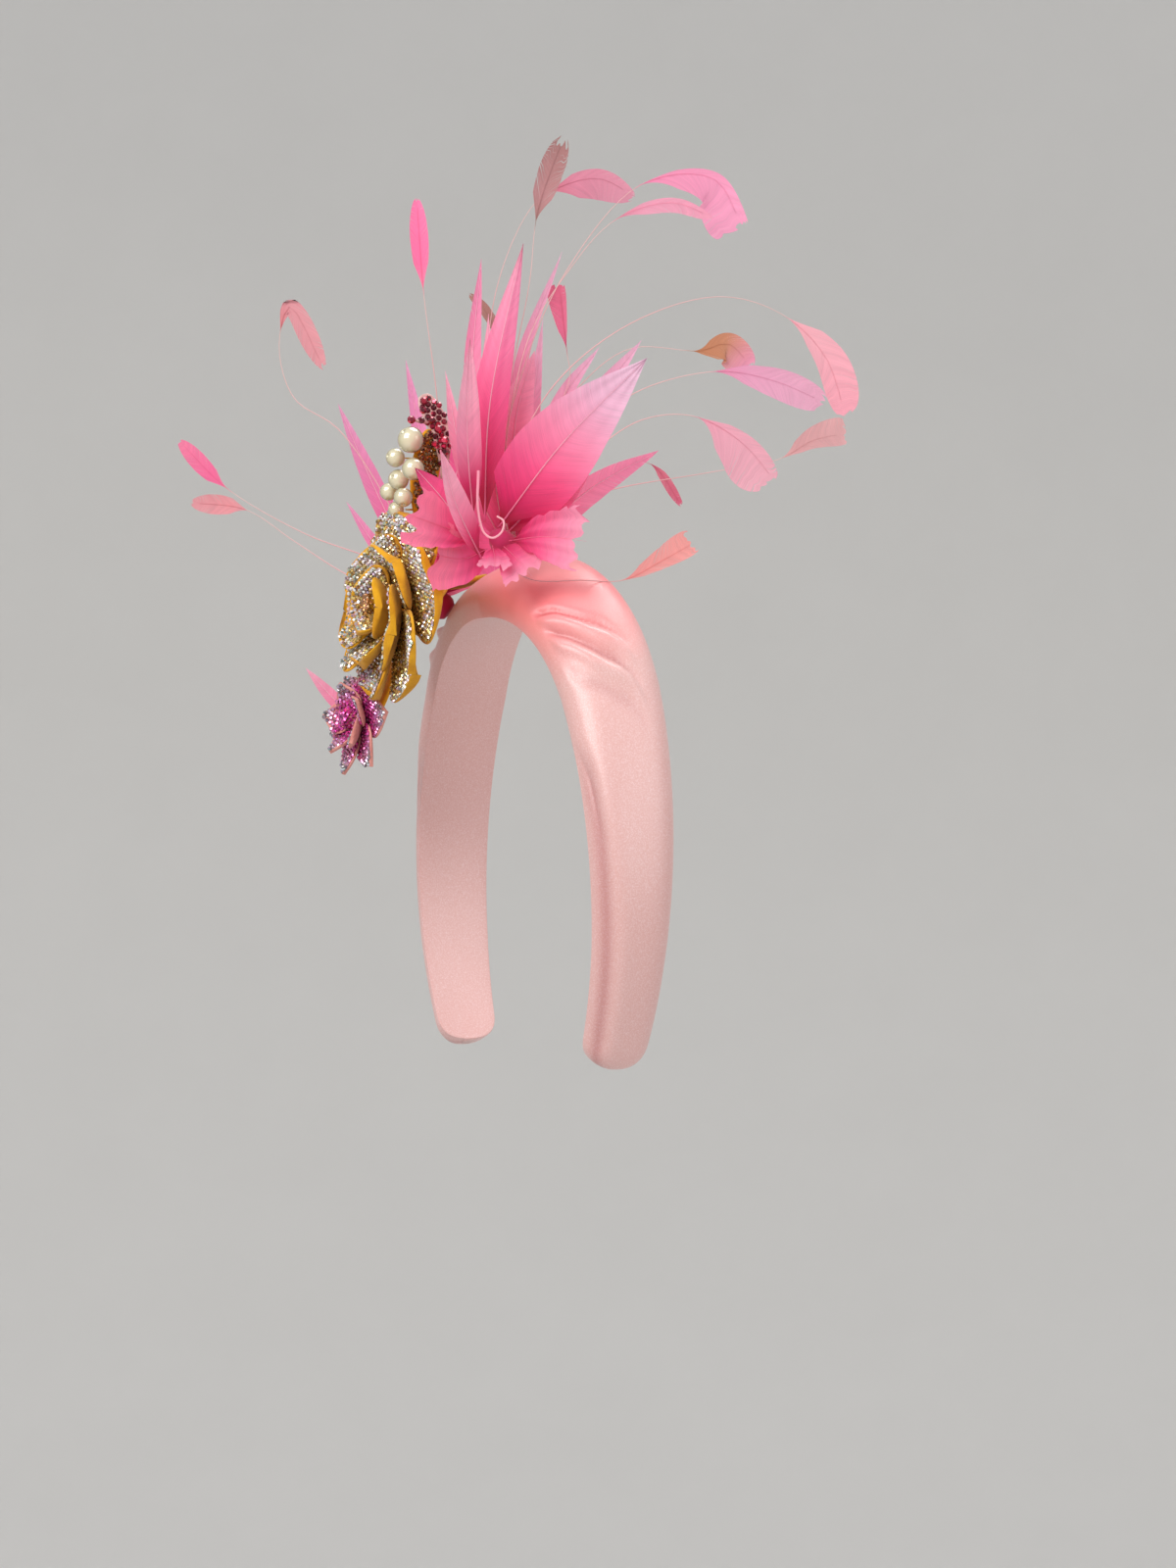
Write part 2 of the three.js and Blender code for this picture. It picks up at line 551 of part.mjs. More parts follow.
for (let index = 0; index < ROSE.outer.count; index += 1) {
  add(`rose_outer_petal_${index + 1}`, "stones", (grow) =>
    ringPetal(rose, ROSE.outer, index, FELT, OUTLINES.round, 3, grow));
}
for (let index = 0; index < ROSE.middle.count; index += 1) {
  add(`rose_middle_petal_${index + 1}`, "stones", (grow) =>
    ringPetal(rose, ROSE.middle, index, FELT, OUTLINES.round, 3, grow));
}
for (let index = 0; index < ROSE.inner.count; index += 1) {
  add(`rose_inner_petal_${index + 1}`, "stones", (grow) =>
    ringPetal(rose, ROSE.inner, index, FELT, OUTLINES.round, 3, grow));
}
add("rose_heart", "stones", (grow) => {
  const { radius, from, to, footShare } = ROSE.heart;
  const foot = rose.centre.clone().addScaledVector(rose.front, from);
  const tip = rose.centre.clone().addScaledVector(rose.front, to);
  return rod(foot, tip, radius * footShare + grow, radius + grow, 10);
});

PEARLS.forEach((pearl, index) => {
  add(`pearl_${index + 1}`, "pearl", (grow) => ball(seen(pearl.at), pearl.radius, 10, 6, grow));
});

NEAR_PETALS.forEach((petal) => {
  add(petal.name, "feather", (grow) => featherBlade(petal, 3, grow));
});

add("jewelled_felt_leaf", "stones", (grow) => {
  const leaf = blade({
    spine: LEAF.spine.map(seen), facing: VIEW_NEAR, roll: LEAF.roll, width: LEAF.width,
    root: LEAF.root, cup: LEAF.cup, thick: FELT, outline: OUTLINES.round, rows: evenRows(6), columns: 3,
  }, grow);
  const pins = PEARLS.map((pearl) => {
    const centre = seen(pearl.at);
    const root = seen(LEAF.spine[1]).setZ(Math.min(centre.z, LEAF.spine[2][1] - PIN.belowTip));
    const reach = centre.clone().sub(root).setLength(pearl.radius + PIN.gap);
    return rod(root, centre.sub(reach), PIN.radius + grow, PIN.radius + grow, PIN.sides);
  });
  return wasm.Manifold.union([leaf, ...pins]);
});

add("crystal_sprig", "crystal", (grow) => {
  const backing = blade({
    spine: SPRIG.spine.map(seen), facing: VIEW_NEAR, roll: SPRIG.roll, width: SPRIG.width,
    root: SPRIG.root, thick: FILM, outline: OUTLINES.round, rows: evenRows(5), columns: 2,
  }, grow);
  const stones = CRYSTALS.map((stone) => cutStone(seen(stone.at), VIEW_NEAR, stone.radius + grow));
  const armRadius = SPRIG.armRadius + grow;
  const arm = rod(seen(SPRIG.arm[0]), seen(SPRIG.arm[1]), armRadius, armRadius, 5);
  return wasm.Manifold.union([backing, arm, ...stones]);
});

function pinkLayer(layer, core, grow) {
  const foot = pinkFlower.centre.clone().addScaledVector(pinkFlower.front, core.from);
  const tip = pinkFlower.centre.clone().addScaledVector(pinkFlower.front, core.to);
  const petals = Array.from({ length: layer.count }, (_, index) =>
    ringPetal(pinkFlower, layer, index, THIN_FELT, OUTLINES.pointed, 2, grow));
  return wasm.Manifold.union([rod(foot, tip, core.radius + grow, core.tipRadius + grow, 8), ...petals]);
}

add("pink_flower_back", "pinkStones", (grow) => pinkLayer(PINK_FLOWER.back, PINK_FLOWER.backCentre, grow));
add("pink_flower_front", "pinkStones", (grow) => pinkLayer(PINK_FLOWER.front, PINK_FLOWER.frontCentre, grow));

function featherBlade(feather, columns, grow, rows = 6) {
  return blade({
    spine: feather.spine.map(seen), facing: VIEW_NEAR, roll: feather.roll, width: feather.width,
    root: FEATHER_ROOT, cup: feather.cup, thick: BARBS, outline: OUTLINES[feather.end],
    rows: evenRows(rows), columns,
  }, grow);
}

// Each feather flower is bound at its foot, and the foot is sewn to the band
const NEAR_FOOT = { from: [3, 9, 24], to: [-9, 22, 39], radius: 7, tipRadius: 2.6 };
const FAR_FOOT = { from: [-29, -4, -29], to: [-41, 5, -31], radius: 6, tipRadius: 3 };

function spray(foot, feathers, grow) {
  const stub = rod(seen(foot.from), seen(foot.to), foot.radius + grow, foot.tipRadius + grow, 8);
  return wasm.Manifold.union([stub, ...feathers.map((feather) => featherBlade(feather, 2, grow, 5))]);
}

add("feather_spray_near", "feather", (grow) => spray(NEAR_FOOT, NEAR_SPIKES, grow));
add("feather_flower_far", "feather", (grow) => spray(FAR_FOOT, FAR_PETALS, grow));
add("pink_loose_feather", "feather", (grow) => featherBlade(LOOSE_PINK_FEATHER, 2, grow));

add("curled_quill", "stripped", (grow) => blade({
  spine: CURLED_QUILL.map(seen), facing: VIEW_NEAR, width: QUILL, root: QUILL,
  thick: QUILL, outline: () => 1, rows: evenRows(11), columns: 1,
}, grow));

STRIPPED.forEach((feather, index) => {
  const { spine, bare } = feather;
  const outline = (s) => (s <= bare ? 0 : OUTLINES[feather.end]((s - bare) / (1 - bare)));
  const rows = [...evenRows(2 * spine.length - 4, 0, bare), ...evenRows(4, bare, 1).slice(1)];
  add(`stripped_feather_${index + 1}`, "stripped", (grow) => blade({
    spine: spine.map(seen), facing: VIEW_NEAR, roll: feather.roll, width: feather.width,
    root: QUILL, cup: STRIPPED_CUP, skew: feather.skew, thick: QUILL, outline, rows, columns: 2,
  }, grow));
});

add("felt_base", "felt", (grow) => wasm.Manifold.union(FELT_BASE.strips.map((strip) => blade({
  spine: strip.spine.map(vector), facing: vector(FELT_BASE.facing), width: strip.width,
  root: strip.width * FELT_BASE.rootShare, thick: BASE_FELT, outline: OUTLINES.round,
  rows: evenRows(6), columns: 3,
}, grow))));

// Each piece is trimmed clear of the pieces before it, and the largest body of it is kept
function boxesMeet(first, second) {
  return [0, 1, 2].every((axis) => first.min[axis] < second.max[axis] && second.min[axis] < first.max[axis]);
}

function largestBody(solid) {
  return solid.decompose().reduce((best, body) => (body.volume() > best.volume() ? body : best));
}

const headpiece = new THREE.Group();
const grownPieces = [];

for (const piece of pieces) {
  let solid = piece.make(0);
  for (const grown of grownPieces) {
    if (boxesMeet(solid.boundingBox(), grown.boundingBox())) solid = solid.subtract(grown);
  }
  const { vertProperties, triVerts } = largestBody(largestBody(solid).simplify(SMALLEST_STEP)).getMesh();
  const geometry = new THREE.BufferGeometry();
  geometry.setAttribute("position", new THREE.BufferAttribute(new Float32Array(vertProperties), 3));
  geometry.setIndex(new THREE.BufferAttribute(new Uint32Array(triVerts), 1));
  const mesh = new THREE.Mesh(geometry, MATERIALS[piece.look]);
  mesh.name = piece.name;
  headpiece.add(mesh);
  grownPieces.push(piece.make(CLEARANCE));
}

export default headpiece;
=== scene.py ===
import math
import bpy
import numpy as np
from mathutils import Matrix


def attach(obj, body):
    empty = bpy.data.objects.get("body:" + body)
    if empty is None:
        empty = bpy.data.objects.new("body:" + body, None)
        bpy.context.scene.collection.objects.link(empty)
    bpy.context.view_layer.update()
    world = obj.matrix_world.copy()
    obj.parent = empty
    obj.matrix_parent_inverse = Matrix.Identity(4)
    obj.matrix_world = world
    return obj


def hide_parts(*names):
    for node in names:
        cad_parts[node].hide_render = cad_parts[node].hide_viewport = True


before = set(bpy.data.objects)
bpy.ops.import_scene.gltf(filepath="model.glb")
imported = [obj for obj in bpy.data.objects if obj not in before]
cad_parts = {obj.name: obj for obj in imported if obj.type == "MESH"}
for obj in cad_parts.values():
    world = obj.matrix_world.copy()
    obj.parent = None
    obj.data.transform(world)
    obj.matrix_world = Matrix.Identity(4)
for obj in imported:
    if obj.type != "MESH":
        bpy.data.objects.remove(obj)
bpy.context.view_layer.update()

# Camera
# The headpiece is seen level, from 62 degrees round from the front on the wearer's left, at 1.2 m,
# through a long lens that takes in 0.59 m of height there. Lens and sensor are in mm.
MM = 0.001
SIDE_VIEW = math.radians(62)
ACROSS = np.array([math.cos(SIDE_VIEW), math.sin(SIDE_VIEW), 0.0])
NEAR = np.array([math.sin(SIDE_VIEW), -math.cos(SIDE_VIEW), 0.0])
UP = np.array([0.0, 0.0, 1.0])
CAMERA_DISTANCE = 1.2
CAMERA_ACROSS = 0.0248
CAMERA_HEIGHT = -0.0707
CAMERA_LENS = 72.9
SENSOR_HEIGHT = 36

camera_data = bpy.data.cameras.new("camera")
camera_data.sensor_fit = "VERTICAL"
camera_data.sensor_height = SENSOR_HEIGHT
camera_data.lens = CAMERA_LENS
camera = bpy.data.objects.new("camera", camera_data)
camera.location = CAMERA_DISTANCE * NEAR + CAMERA_ACROSS * ACROSS + CAMERA_HEIGHT * UP
camera.rotation_euler = (math.radians(90), 0, SIDE_VIEW)
bpy.context.scene.collection.objects.link(camera)
bpy.context.scene.camera = camera
bpy.context.scene.view_settings.view_transform = "Standard"

# Padded satin band
# A foam-padded alice band in blush satin. The satin is drawn round the foam and gathered
# under it, which pulls slanting folds over the crown and a long crease down the front side.
BAND_CROWN = dict(radius=0.063, angle=math.radians(62), width=0.041, pad=0.014, set_back=0.002)
BAND_LEG = dict(radius=0.150, angle=math.radians(116.7), width=0.024, pad=0.010, set_back=0.006)
CROWN_LENGTH = BAND_CROWN["radius"] * BAND_CROWN["angle"]
BAND_LENGTH = CROWN_LENGTH + BAND_LEG["radius"] * (BAND_LEG["angle"] - BAND_CROWN["angle"])
BAND_SQUARENESS = 2.7
BAND_END_ROUNDING = 0.011
BAND_END_LEAST = 0.02
BAND_FORWARD_ROLL = math.radians(24)
BAND_INNER_DIP = 0.0006
# How the width narrows on the way to an end, and the shares of the way by which the band is fully
# set back and no longer rolled forward
BAND_TAPER = 1.3
BAND_SET_BACK_BY = 0.35
BAND_LEVEL_BY = 0.8
# Rings of points lie evenly along each half of the band and crowd together in its last share
BAND_RINGS = dict(even=190, end=24, end_share=0.045, crowding=1.8)
BAND_SIDES = 120
BLUSH_DEEP, BLUSH = (0.67, 0.365, 0.335), (0.70, 0.41, 0.385)
# The lit blush that light specks of the grain are mixed toward: a painted sparkle of highlights
BLUSH_LIT = (0.84, 0.67, 0.69)
# Painted shade: the colour the satin is darkened toward in its folds and its crease
PAINTED_CREASE_SHADE = (0.62, 0.38, 0.40)
# Painted reflection: coral light from the pink feathers, painted onto the satin round a point under them
PAINTED_REFLECTED_CORAL = (0.84, 0.22, 0.23)
PAINTED_REFLECTION_SPOT = dict(at=(0.030, -0.004, 0.014), reach=0.058, full=0.022)

# Folds over the crown: how far along the band each one lies at six places round its section,
# from its front edge to its back, in mm, with its height (negative for a crease) and its breadth
FOLD_TURNS = np.radians([150, 136, 118, 98, 80, 66])
FOLDS = [
    dict(along=[39, 40, 42, 48, 56, 62], height=-1.9, breadth=2.0),
    dict(along=[43, 45, 48, 54, 62, 68], height=1.7, breadth=2.6),
    dict(along=[48, 51, 55, 61, 69, 76], height=-2.0, breadth=2.2),
    dict(along=[54, 57, 61, 67, 75, 83], height=1.6, breadth=3.2),
    dict(along=[66, 69, 72, 77, 85, 94], height=-0.8, breadth=4.0),
]
# The crease down the front side: where it lies round the section at places along the band, in mm
CREASE_ALONG = np.array([92, 104, 126, 153, 177, 207, 240])
CREASE_TURN = np.radians([166, 158, 150, 147, 145, 142, 140])
CREASE = dict(depth=1.4, breadth=0.32, begins_over=14)
CREASE_LIP = dict(height=0.3, breadth=0.25, offset=0.6)
# A short pleat at the front edge, where the crease begins
PLEAT_ALONG = [96, 108, 128]
PLEAT_TURN = np.radians([172, 160, 150])
PLEAT = dict(depth=0.6, breadth=0.07, middle=110, length=12)
# Painted shade: how dark the satin is painted in the folds and in the crease, and how far the painted shade
# reaches
FOLD_PAINTED_SHADE = dict(depth=0.3, breadth=0.8)
CREASE_PAINTED_SHADE = dict(depth=0.6, breadth=0.3, begins_over=20, offset=0.04)


def unit(vectors):
    """Vectors divided by their own lengths."""
    return vectors / np.linalg.norm(vectors, axis=-1, keepdims=True)


def closed_tube_faces(rows, sides):
    """Quads between neighbouring rings of a tube, and one fan face at each end."""
    row, side = np.meshgrid(np.arange(rows - 1), np.arange(sides), indexing="ij")
    following = (side + 1) % sides
    quads = np.stack([row * sides + side, row * sides + following,
                      (row + 1) * sides + following, (row + 1) * sides + side], axis=-1)
    ends = np.stack([np.arange(sides)[::-1], (rows - 1) * sides + np.arange(sides)])
    return [quads.reshape(-1, 4), ends]


def put(name, points, faces, materials, uv=None, colours=None, face_material=None, closed=False):
    """A mesh object from points and groups of faces, turned outwards if it is closed.

    Its faces are smooth, but for those of a second material, which are flat."""
    points = points.reshape(-1, 3)
    if closed:
        around = faces[0]
        a, b, c, d = (points[around[:, k]] for k in range(4))
        volume = np.einsum("ij,ij->", a, np.cross(b, c)) + np.einsum("ij,ij->", a, np.cross(c, d))
        faces = faces if volume > 0 else [group[:, ::-1] for group in faces]
    corners = np.concatenate([group.ravel() for group in faces])
    sizes = np.concatenate([np.full(len(group), group.shape[1]) for group in faces])
    mesh = bpy.data.meshes.new(name)
    mesh.vertices.add(len(points))
    mesh.vertices.foreach_set("co", points.astype(np.float32).ravel())
    mesh.loops.add(len(corners))
    mesh.loops.foreach_set("vertex_index", corners.astype(np.int32))
    mesh.polygons.add(len(sizes))
    mesh.polygons.foreach_set("loop_start", (np.cumsum(sizes) - sizes).astype(np.int32))
    mesh.update(calc_edges=True)
    mesh.polygons.foreach_set("use_smooth", np.ones(len(sizes), bool))
    for material in materials:
        mesh.materials.append(material)
    if face_material is not None:
        mesh.polygons.foreach_set("material_index", face_material.astype(np.int32))
        mesh.polygons.foreach_set("use_smooth", face_material == 0)
    if uv is not None:
        layer = mesh.uv_layers.new(name="barbs")
        layer.data.foreach_set("uv", uv.reshape(-1, 2)[corners].astype(np.float32).ravel())
    if colours is not None:
        # Point colours: dyes on the feathers, some with painted shade, and painted shade on the satin band
        layer = mesh.attributes.new("dye", "FLOAT_COLOR", "POINT")
        rgba = np.column_stack([colours.reshape(-1, 3), np.ones(len(points))])
        layer.data.foreach_set("color", rgba.astype(np.float32).ravel())
    piece = bpy.data.objects.new(name, mesh)
    bpy.context.scene.collection.objects.link(piece)
    return piece


def stands_for(piece, node):
    """The piece takes the CAD node's place and rides with it."""
    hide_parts(node)
    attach(piece, "root")


def paint(name):
    """A new material, with a function that adds a node to it and sets or joins its sockets."""
    material = bpy.data.materials.new(name)
    material.use_nodes = True
    tree = material.node_tree
    tree.nodes.clear()

    def add(kind, sockets=(), **settings):
        node = tree.nodes.new("ShaderNode" + kind)
        for key, value in settings.items():
            setattr(node, key, value)
        for key, value in dict(sockets).items():
            if isinstance(value, bpy.types.NodeSocket):
                tree.links.new(value, node.inputs[key])
            elif isinstance(value, tuple) and len(value) == 3 and node.inputs[key].type == "RGBA":
                node.inputs[key].default_value = (*value, 1.0)
            else:
                node.inputs[key].default_value = value
        return node

    return material, add


def colour_mix(add, factor, first, second, blend="MIX"):
    """A blend of two colours."""
    node = add("Mix", {0: factor, 6: first, 7: second}, data_type="RGBA", blend_type=blend)
    return node.outputs[2]


def fold_reach(turn):
    """How fully a fold stands at a place round the section: it fades out toward both edges."""
    fade_back, fade_front = 0.35, 0.25
    from_back = np.clip((turn - FOLD_TURNS[-1]) / fade_back, 0, 1)
    from_front = np.clip((FOLD_TURNS[0] - turn) / fade_front, 0, 1)
    return from_back * from_front


def band_folds(along, turn):
    """Height of the folds: each is a bell-shaped ridge or crease across its own slanting line.

    The long crease, the lip beside it and the short pleat are bells across lines of their own."""
    height = np.zeros(np.broadcast(along, turn).shape)
    length = np.abs(along) / MM
    for fold in FOLDS:
        line = np.interp(-turn, -FOLD_TURNS, fold["along"])
        height += fold["height"] * fold_reach(turn) * np.exp(-((length - line) / fold["breadth"]) ** 2)
    crease = np.interp(length, CREASE_ALONG, CREASE_TURN)
    begins = np.clip((length - CREASE_ALONG[0]) / CREASE["begins_over"], 0, 1)
    height -= CREASE["depth"] * begins * np.exp(-((turn - crease) / CREASE["breadth"]) ** 2)
    from_lip = turn - crease + CREASE_LIP["offset"]
    height += CREASE_LIP["height"] * begins * np.exp(-(from_lip / CREASE_LIP["breadth"]) ** 2)
    pleat = np.interp(length, PLEAT_ALONG, PLEAT_TURN)
    along_pleat = np.exp(-((length - PLEAT["middle"]) / PLEAT["length"]) ** 2)
    height -= PLEAT["depth"] * along_pleat * np.exp(-((turn - pleat) / PLEAT["breadth"]) ** 2)
    return height * MM


def band_painted_shade(along, turn):
    """How deep in a crease a place lies, from 0 on open satin to 1: the share of painted shade it gets."""
    length = np.abs(along) / MM
    depth = np.zeros(np.broadcast(along, turn).shape)
    for fold in FOLDS:
        if fold["height"] < 0:
            line = np.interp(-turn, -FOLD_TURNS, fold["along"])
            across = np.exp(-((length - line) / (FOLD_PAINTED_SHADE["breadth"] * fold["breadth"])) ** 2)
            depth += -FOLD_PAINTED_SHADE["depth"] * fold["height"] * fold_reach(turn) * across
    crease = np.interp(length, CREASE_ALONG, CREASE_TURN)
    begins = np.clip((length - CREASE_ALONG[0]) / CREASE_PAINTED_SHADE["begins_over"], 0, 1)
    from_shade_line = turn - crease - CREASE_PAINTED_SHADE["offset"]
    depth += CREASE_PAINTED_SHADE["depth"] * begins * np.exp(-(from_shade_line / CREASE_PAINTED_SHADE["breadth"]) ** 2)
    return np.clip(depth, 0, 1)


def band_surface(along, turn):
    """A superellipse section carried along an arch of two arcs, narrowing to rounded ends.

    The crown arc has the small radius and the legs the large one. The section leans forward over
    the crown, and the folds stand out of it or sink into it."""
    crown, leg = BAND_CROWN, BAND_LEG
    length = np.abs(along)
    way = np.sign(along)
    past = np.maximum(0, length - CROWN_LENGTH) / leg["radius"]
    inside = np.minimum(length / crown["radius"], crown["angle"])
    angle = inside + past
    x = crown["radius"] * np.sin(inside) + leg["radius"] * (np.sin(angle) - np.sin(inside))
    z = -crown["radius"] * (1 - np.cos(inside)) - leg["radius"] * (np.cos(inside) - np.cos(angle))
    share = length / BAND_LENGTH
    to_end = np.clip((BAND_LENGTH - length) / BAND_END_ROUNDING, 0, 1)
    rounding = np.maximum(BAND_END_LEAST, 1 - (1 - to_end) ** BAND_SQUARENESS) ** (1 / BAND_SQUARENESS)
    width = (crown["width"] + (leg["width"] - crown["width"]) * share ** BAND_TAPER) * rounding
    pad = (crown["pad"] + (leg["pad"] - crown["pad"]) * share) * np.sqrt(rounding)
    set_back_share = np.minimum(1, share / BAND_SET_BACK_BY)
    back = crown["set_back"] + (leg["set_back"] - crown["set_back"]) * set_back_share
    lean = BAND_FORWARD_ROLL * (1 - np.minimum(1, share / BAND_LEVEL_BY))
    zero = np.zeros_like(x)
    out = np.stack([way * np.sin(angle), zero, np.cos(angle)], axis=-1)
    backwards = np.array([0.0, 1.0, 0.0])
    across = backwards * np.cos(lean)[..., None] + out * np.sin(lean)[..., None]
    away = out * np.cos(lean)[..., None] - backwards * np.sin(lean)[..., None]
    power = 2 / BAND_SQUARENESS
    sideways = np.sign(np.cos(turn)) * np.abs(np.cos(turn)) ** power
    upward = np.sign(np.sin(turn)) * np.abs(np.sin(turn)) ** power
    fold = band_folds(along, turn) * to_end
    reach = width / 2 * sideways + fold * np.cos(turn)
    lift = np.where(upward >= 0, pad, BAND_INNER_DIP) * upward + fold * np.clip(np.sin(turn), 0, 1)
    centre = np.stack([way * x, back, z], axis=-1)
    return centre + across * reach[..., None] + away * lift[..., None]


def satin():
    """Blush satin: soft gloss, a fine grain with painted sparkle, painted shade in its creases, and coral
    painted as the feathers' reflected light where it lies under them.
    """
    material, add = paint("blush_satin")
    place = add("TexCoord").outputs["Object"]
    grain = add("TexNoise", {"Vector": place, "Scale": 1900, "Detail": 3, "Roughness": 0.7})
    drift = add("TexNoise", {"Vector": place, "Scale": 22, "Detail": 2})
    # Painted sparkle: the lightest specks of the grain take the lit blush
    painted_sparkle = add("MapRange", {0: grain.outputs["Fac"], 1: 0.45, 2: 0.9}, clamp=True)
    base = colour_mix(add, drift.outputs["Fac"], BLUSH_DEEP, BLUSH)
    base = colour_mix(add, painted_sparkle.outputs[0], base, BLUSH_LIT)
    # Painted reflection of the feathers: the colour runs to coral near a point under them
    near_feathers = add("VectorMath", {0: place, 1: PAINTED_REFLECTION_SPOT["at"]}, operation="DISTANCE")
    glow = add("MapRange", {
        0: near_feathers.outputs["Value"], 1: PAINTED_REFLECTION_SPOT["reach"], 2: PAINTED_REFLECTION_SPOT["full"]}, clamp=True)
    base = colour_mix(add, glow.outputs[0], base, PAINTED_REFLECTED_CORAL)
    # Painted shade in the folds and the crease, carried on the band's points, darkens the satin there
    crease = add("Attribute", attribute_name="dye").outputs["Color"]
    base = colour_mix(add, crease, base, PAINTED_CREASE_SHADE, "MULTIPLY")
    relief = add("Bump", {"Height": grain.outputs["Fac"], "Strength": 0.3, "Distance": 0.0002})
    shader = add("BsdfPrincipled", {
        "Base Color": base, "Roughness": 0.36, "Normal": relief.outputs["Normal"], "Sheen Weight": 0.15,
        "Sheen Roughness": 0.4, "Specular IOR Level": 0.55, "Coat Weight": 0.1, "Coat Roughness": 0.25})
    add("OutputMaterial", {"Surface": shader.outputs["BSDF"]})
    return material


left_over = 1 - np.linspace(0, 1, BAND_RINGS["end"])[1:]
half_way = np.concatenate([
    np.linspace(0, 1 - BAND_RINGS["end_share"], BAND_RINGS["even"]),
    1 - BAND_RINGS["end_share"] * left_over ** BAND_RINGS["crowding"]])
band_along = np.concatenate([-half_way[:0:-1], half_way]) * BAND_LENGTH
band_turn = np.linspace(0, 2 * math.pi, BAND_SIDES, endpoint=False)
band_places = np.meshgrid(band_along, band_turn, indexing="ij")
band_grid = band_surface(*band_places)
# Painted shade for each point of the band, as a grey colour
band_shade_factors = np.repeat(band_painted_shade(*band_places)[..., None], 3, axis=-1)
band_faces = closed_tube_faces(*band_grid.shape[:2])
band = put("padded_satin_band", band_grid, band_faces, [satin()], colours=band_shade_factors, closed=True)
stands_for(band, "satin_headband")

# Felt base
# A strip of mustard wool felt sewn to the front of the band, which carries the rose, and a
# narrow tab of it that hangs down to the pink flower. It is cut flat and bent over the band.
FELT_BASE = dict(
    strip=dict(spine=[[-38, -2, 8], [-31, -22, 4], [-14, -39, -8]], width=24),
    tab=dict(spine=[[-24, -34, -8], [-29, -40, -26], [-33, -46, -44]], width=14),
)
FELT_BASE_THICKNESS = 2.6
FELT_BASE_ROOT = 0.7
FELT_BASE_FACING = (0, -0.6, 0.8)


def rise(share, toward_root, toward_tip):
    """A power of the share times a power of what is left, over its own highest value."""
    peak = toward_root / (toward_root + toward_tip)
    top = peak ** toward_root * (1 - peak) ** toward_tip
    return share ** toward_root * (1 - share) ** toward_tip / top


OUTLINES = dict(
    pointed=lambda share: rise(share, 0.7, 1.0),
    blunt=lambda share: rise(share, 0.9, 0.16),
    round=lambda share: rise(share, 0.8, 0.32),
    barbs=lambda share: rise(share, 1.0, 0.42),
    spear=lambda share: rise(share, 0.6, 1.1),
    leaf=lambda share: rise(share, 0.8, 0.6),
    wedge=lambda share: rise(share, 1.0, 0.16),
)


def seen(places):
    """Places in the side view, in mm across, up and near, as points in metres."""
    across, up, near = np.asarray(places, float).T
    return (np.outer(across, ACROSS) + np.outer(up, UP) + np.outer(near, NEAR)) * MM


def smooth_path(points, between=60, kept=400):
    """Evenly spaced places on a curve through the points, their directions, and its length.

    Between two points runs the cubic whose end slopes follow the neighbouring points, each
    weighted by the square root of its distance."""
    ends = np.vstack([2 * points[0] - points[1], points, 2 * points[-1] - points[-2]])
    a, b, c, d = ends[:-3, None], ends[1:-2, None], ends[2:-1, None], ends[3:, None]
    pairs = (a, b), (b, c), (c, d)
    ab, bc, cd = (np.sqrt(np.linalg.norm(q - p, axis=-1, keepdims=True)) for p, q in pairs)
    leaving = ((b - a) / ab - (c - a) / (ab + bc) + (c - b) / bc) * bc
    arriving = ((c - b) / bc - (d - b) / (bc + cd) + (d - c) / cd) * bc
    t = np.linspace(0, 1, between, endpoint=False)[None, :, None]
    curve = (b * (2 * t ** 3 - 3 * t ** 2 + 1) + leaving * (t ** 3 - 2 * t ** 2 + t)
             + c * (3 * t ** 2 - 2 * t ** 3) + arriving * (t ** 3 - t ** 2))
    curve = np.vstack([curve.reshape(-1, 3), points[-1]])
    walked = np.concatenate([[0], np.cumsum(np.linalg.norm(np.diff(curve, axis=0), axis=1))])
    even = np.linspace(0, walked[-1], kept)
    places = np.stack([np.interp(even, walked, curve[:, k]) for k in range(3)], axis=-1)
    return places, unit(np.gradient(places, axis=0)), walked[-1]


def sample(rows, share):
    """The rows' value at each share of the way through them."""
    steps = np.linspace(0, 1, len(rows))
    return np.stack([np.interp(share, steps, rows[:, k]) for k in range(3)], axis=-1)


def blade(spine, facing, width, roll=0.0, root=1.6, cup=0.0, outline=OUTLINES["round"], wave=None, skew=0.0):
    """A strip along a spine in metres, with widths in mm, as a function of share and side.

    A point lies on the spine at that share, moved sideways by the half-width times the side, and
    lifted by the cup times the half-width times the side squared, and by the wave. The skew makes
    the half-width larger where the side is positive and smaller where it is negative."""
    path, directions, length = smooth_path(np.asarray(spine, float))
    turn = math.radians(roll)

    def half_width(share):
        return np.maximum(root / 2 * (1 - 0.9 * share ** 2), width / 2 * outline(share)) * MM

    def place(share, side, lift=0.0):
        share, side = np.broadcast_arrays(share, side)
        along = unit(sample(directions, share))
        across = unit(np.cross(along, facing))
        across = across * math.cos(turn) + np.cross(along, across) * math.sin(turn)
        outward = np.cross(across, along)
        half = half_width(share)
        bend = cup * half * side ** 2 + lift
        if wave is not None:
            bend = bend + wave(share, side) * MM
        sideways = half * side * (1 + skew * np.sign(side))
        return sample(path, share) + across * sideways[..., None] + outward * bend[..., None]

    place.length = length
    place.half_width = half_width
    return place


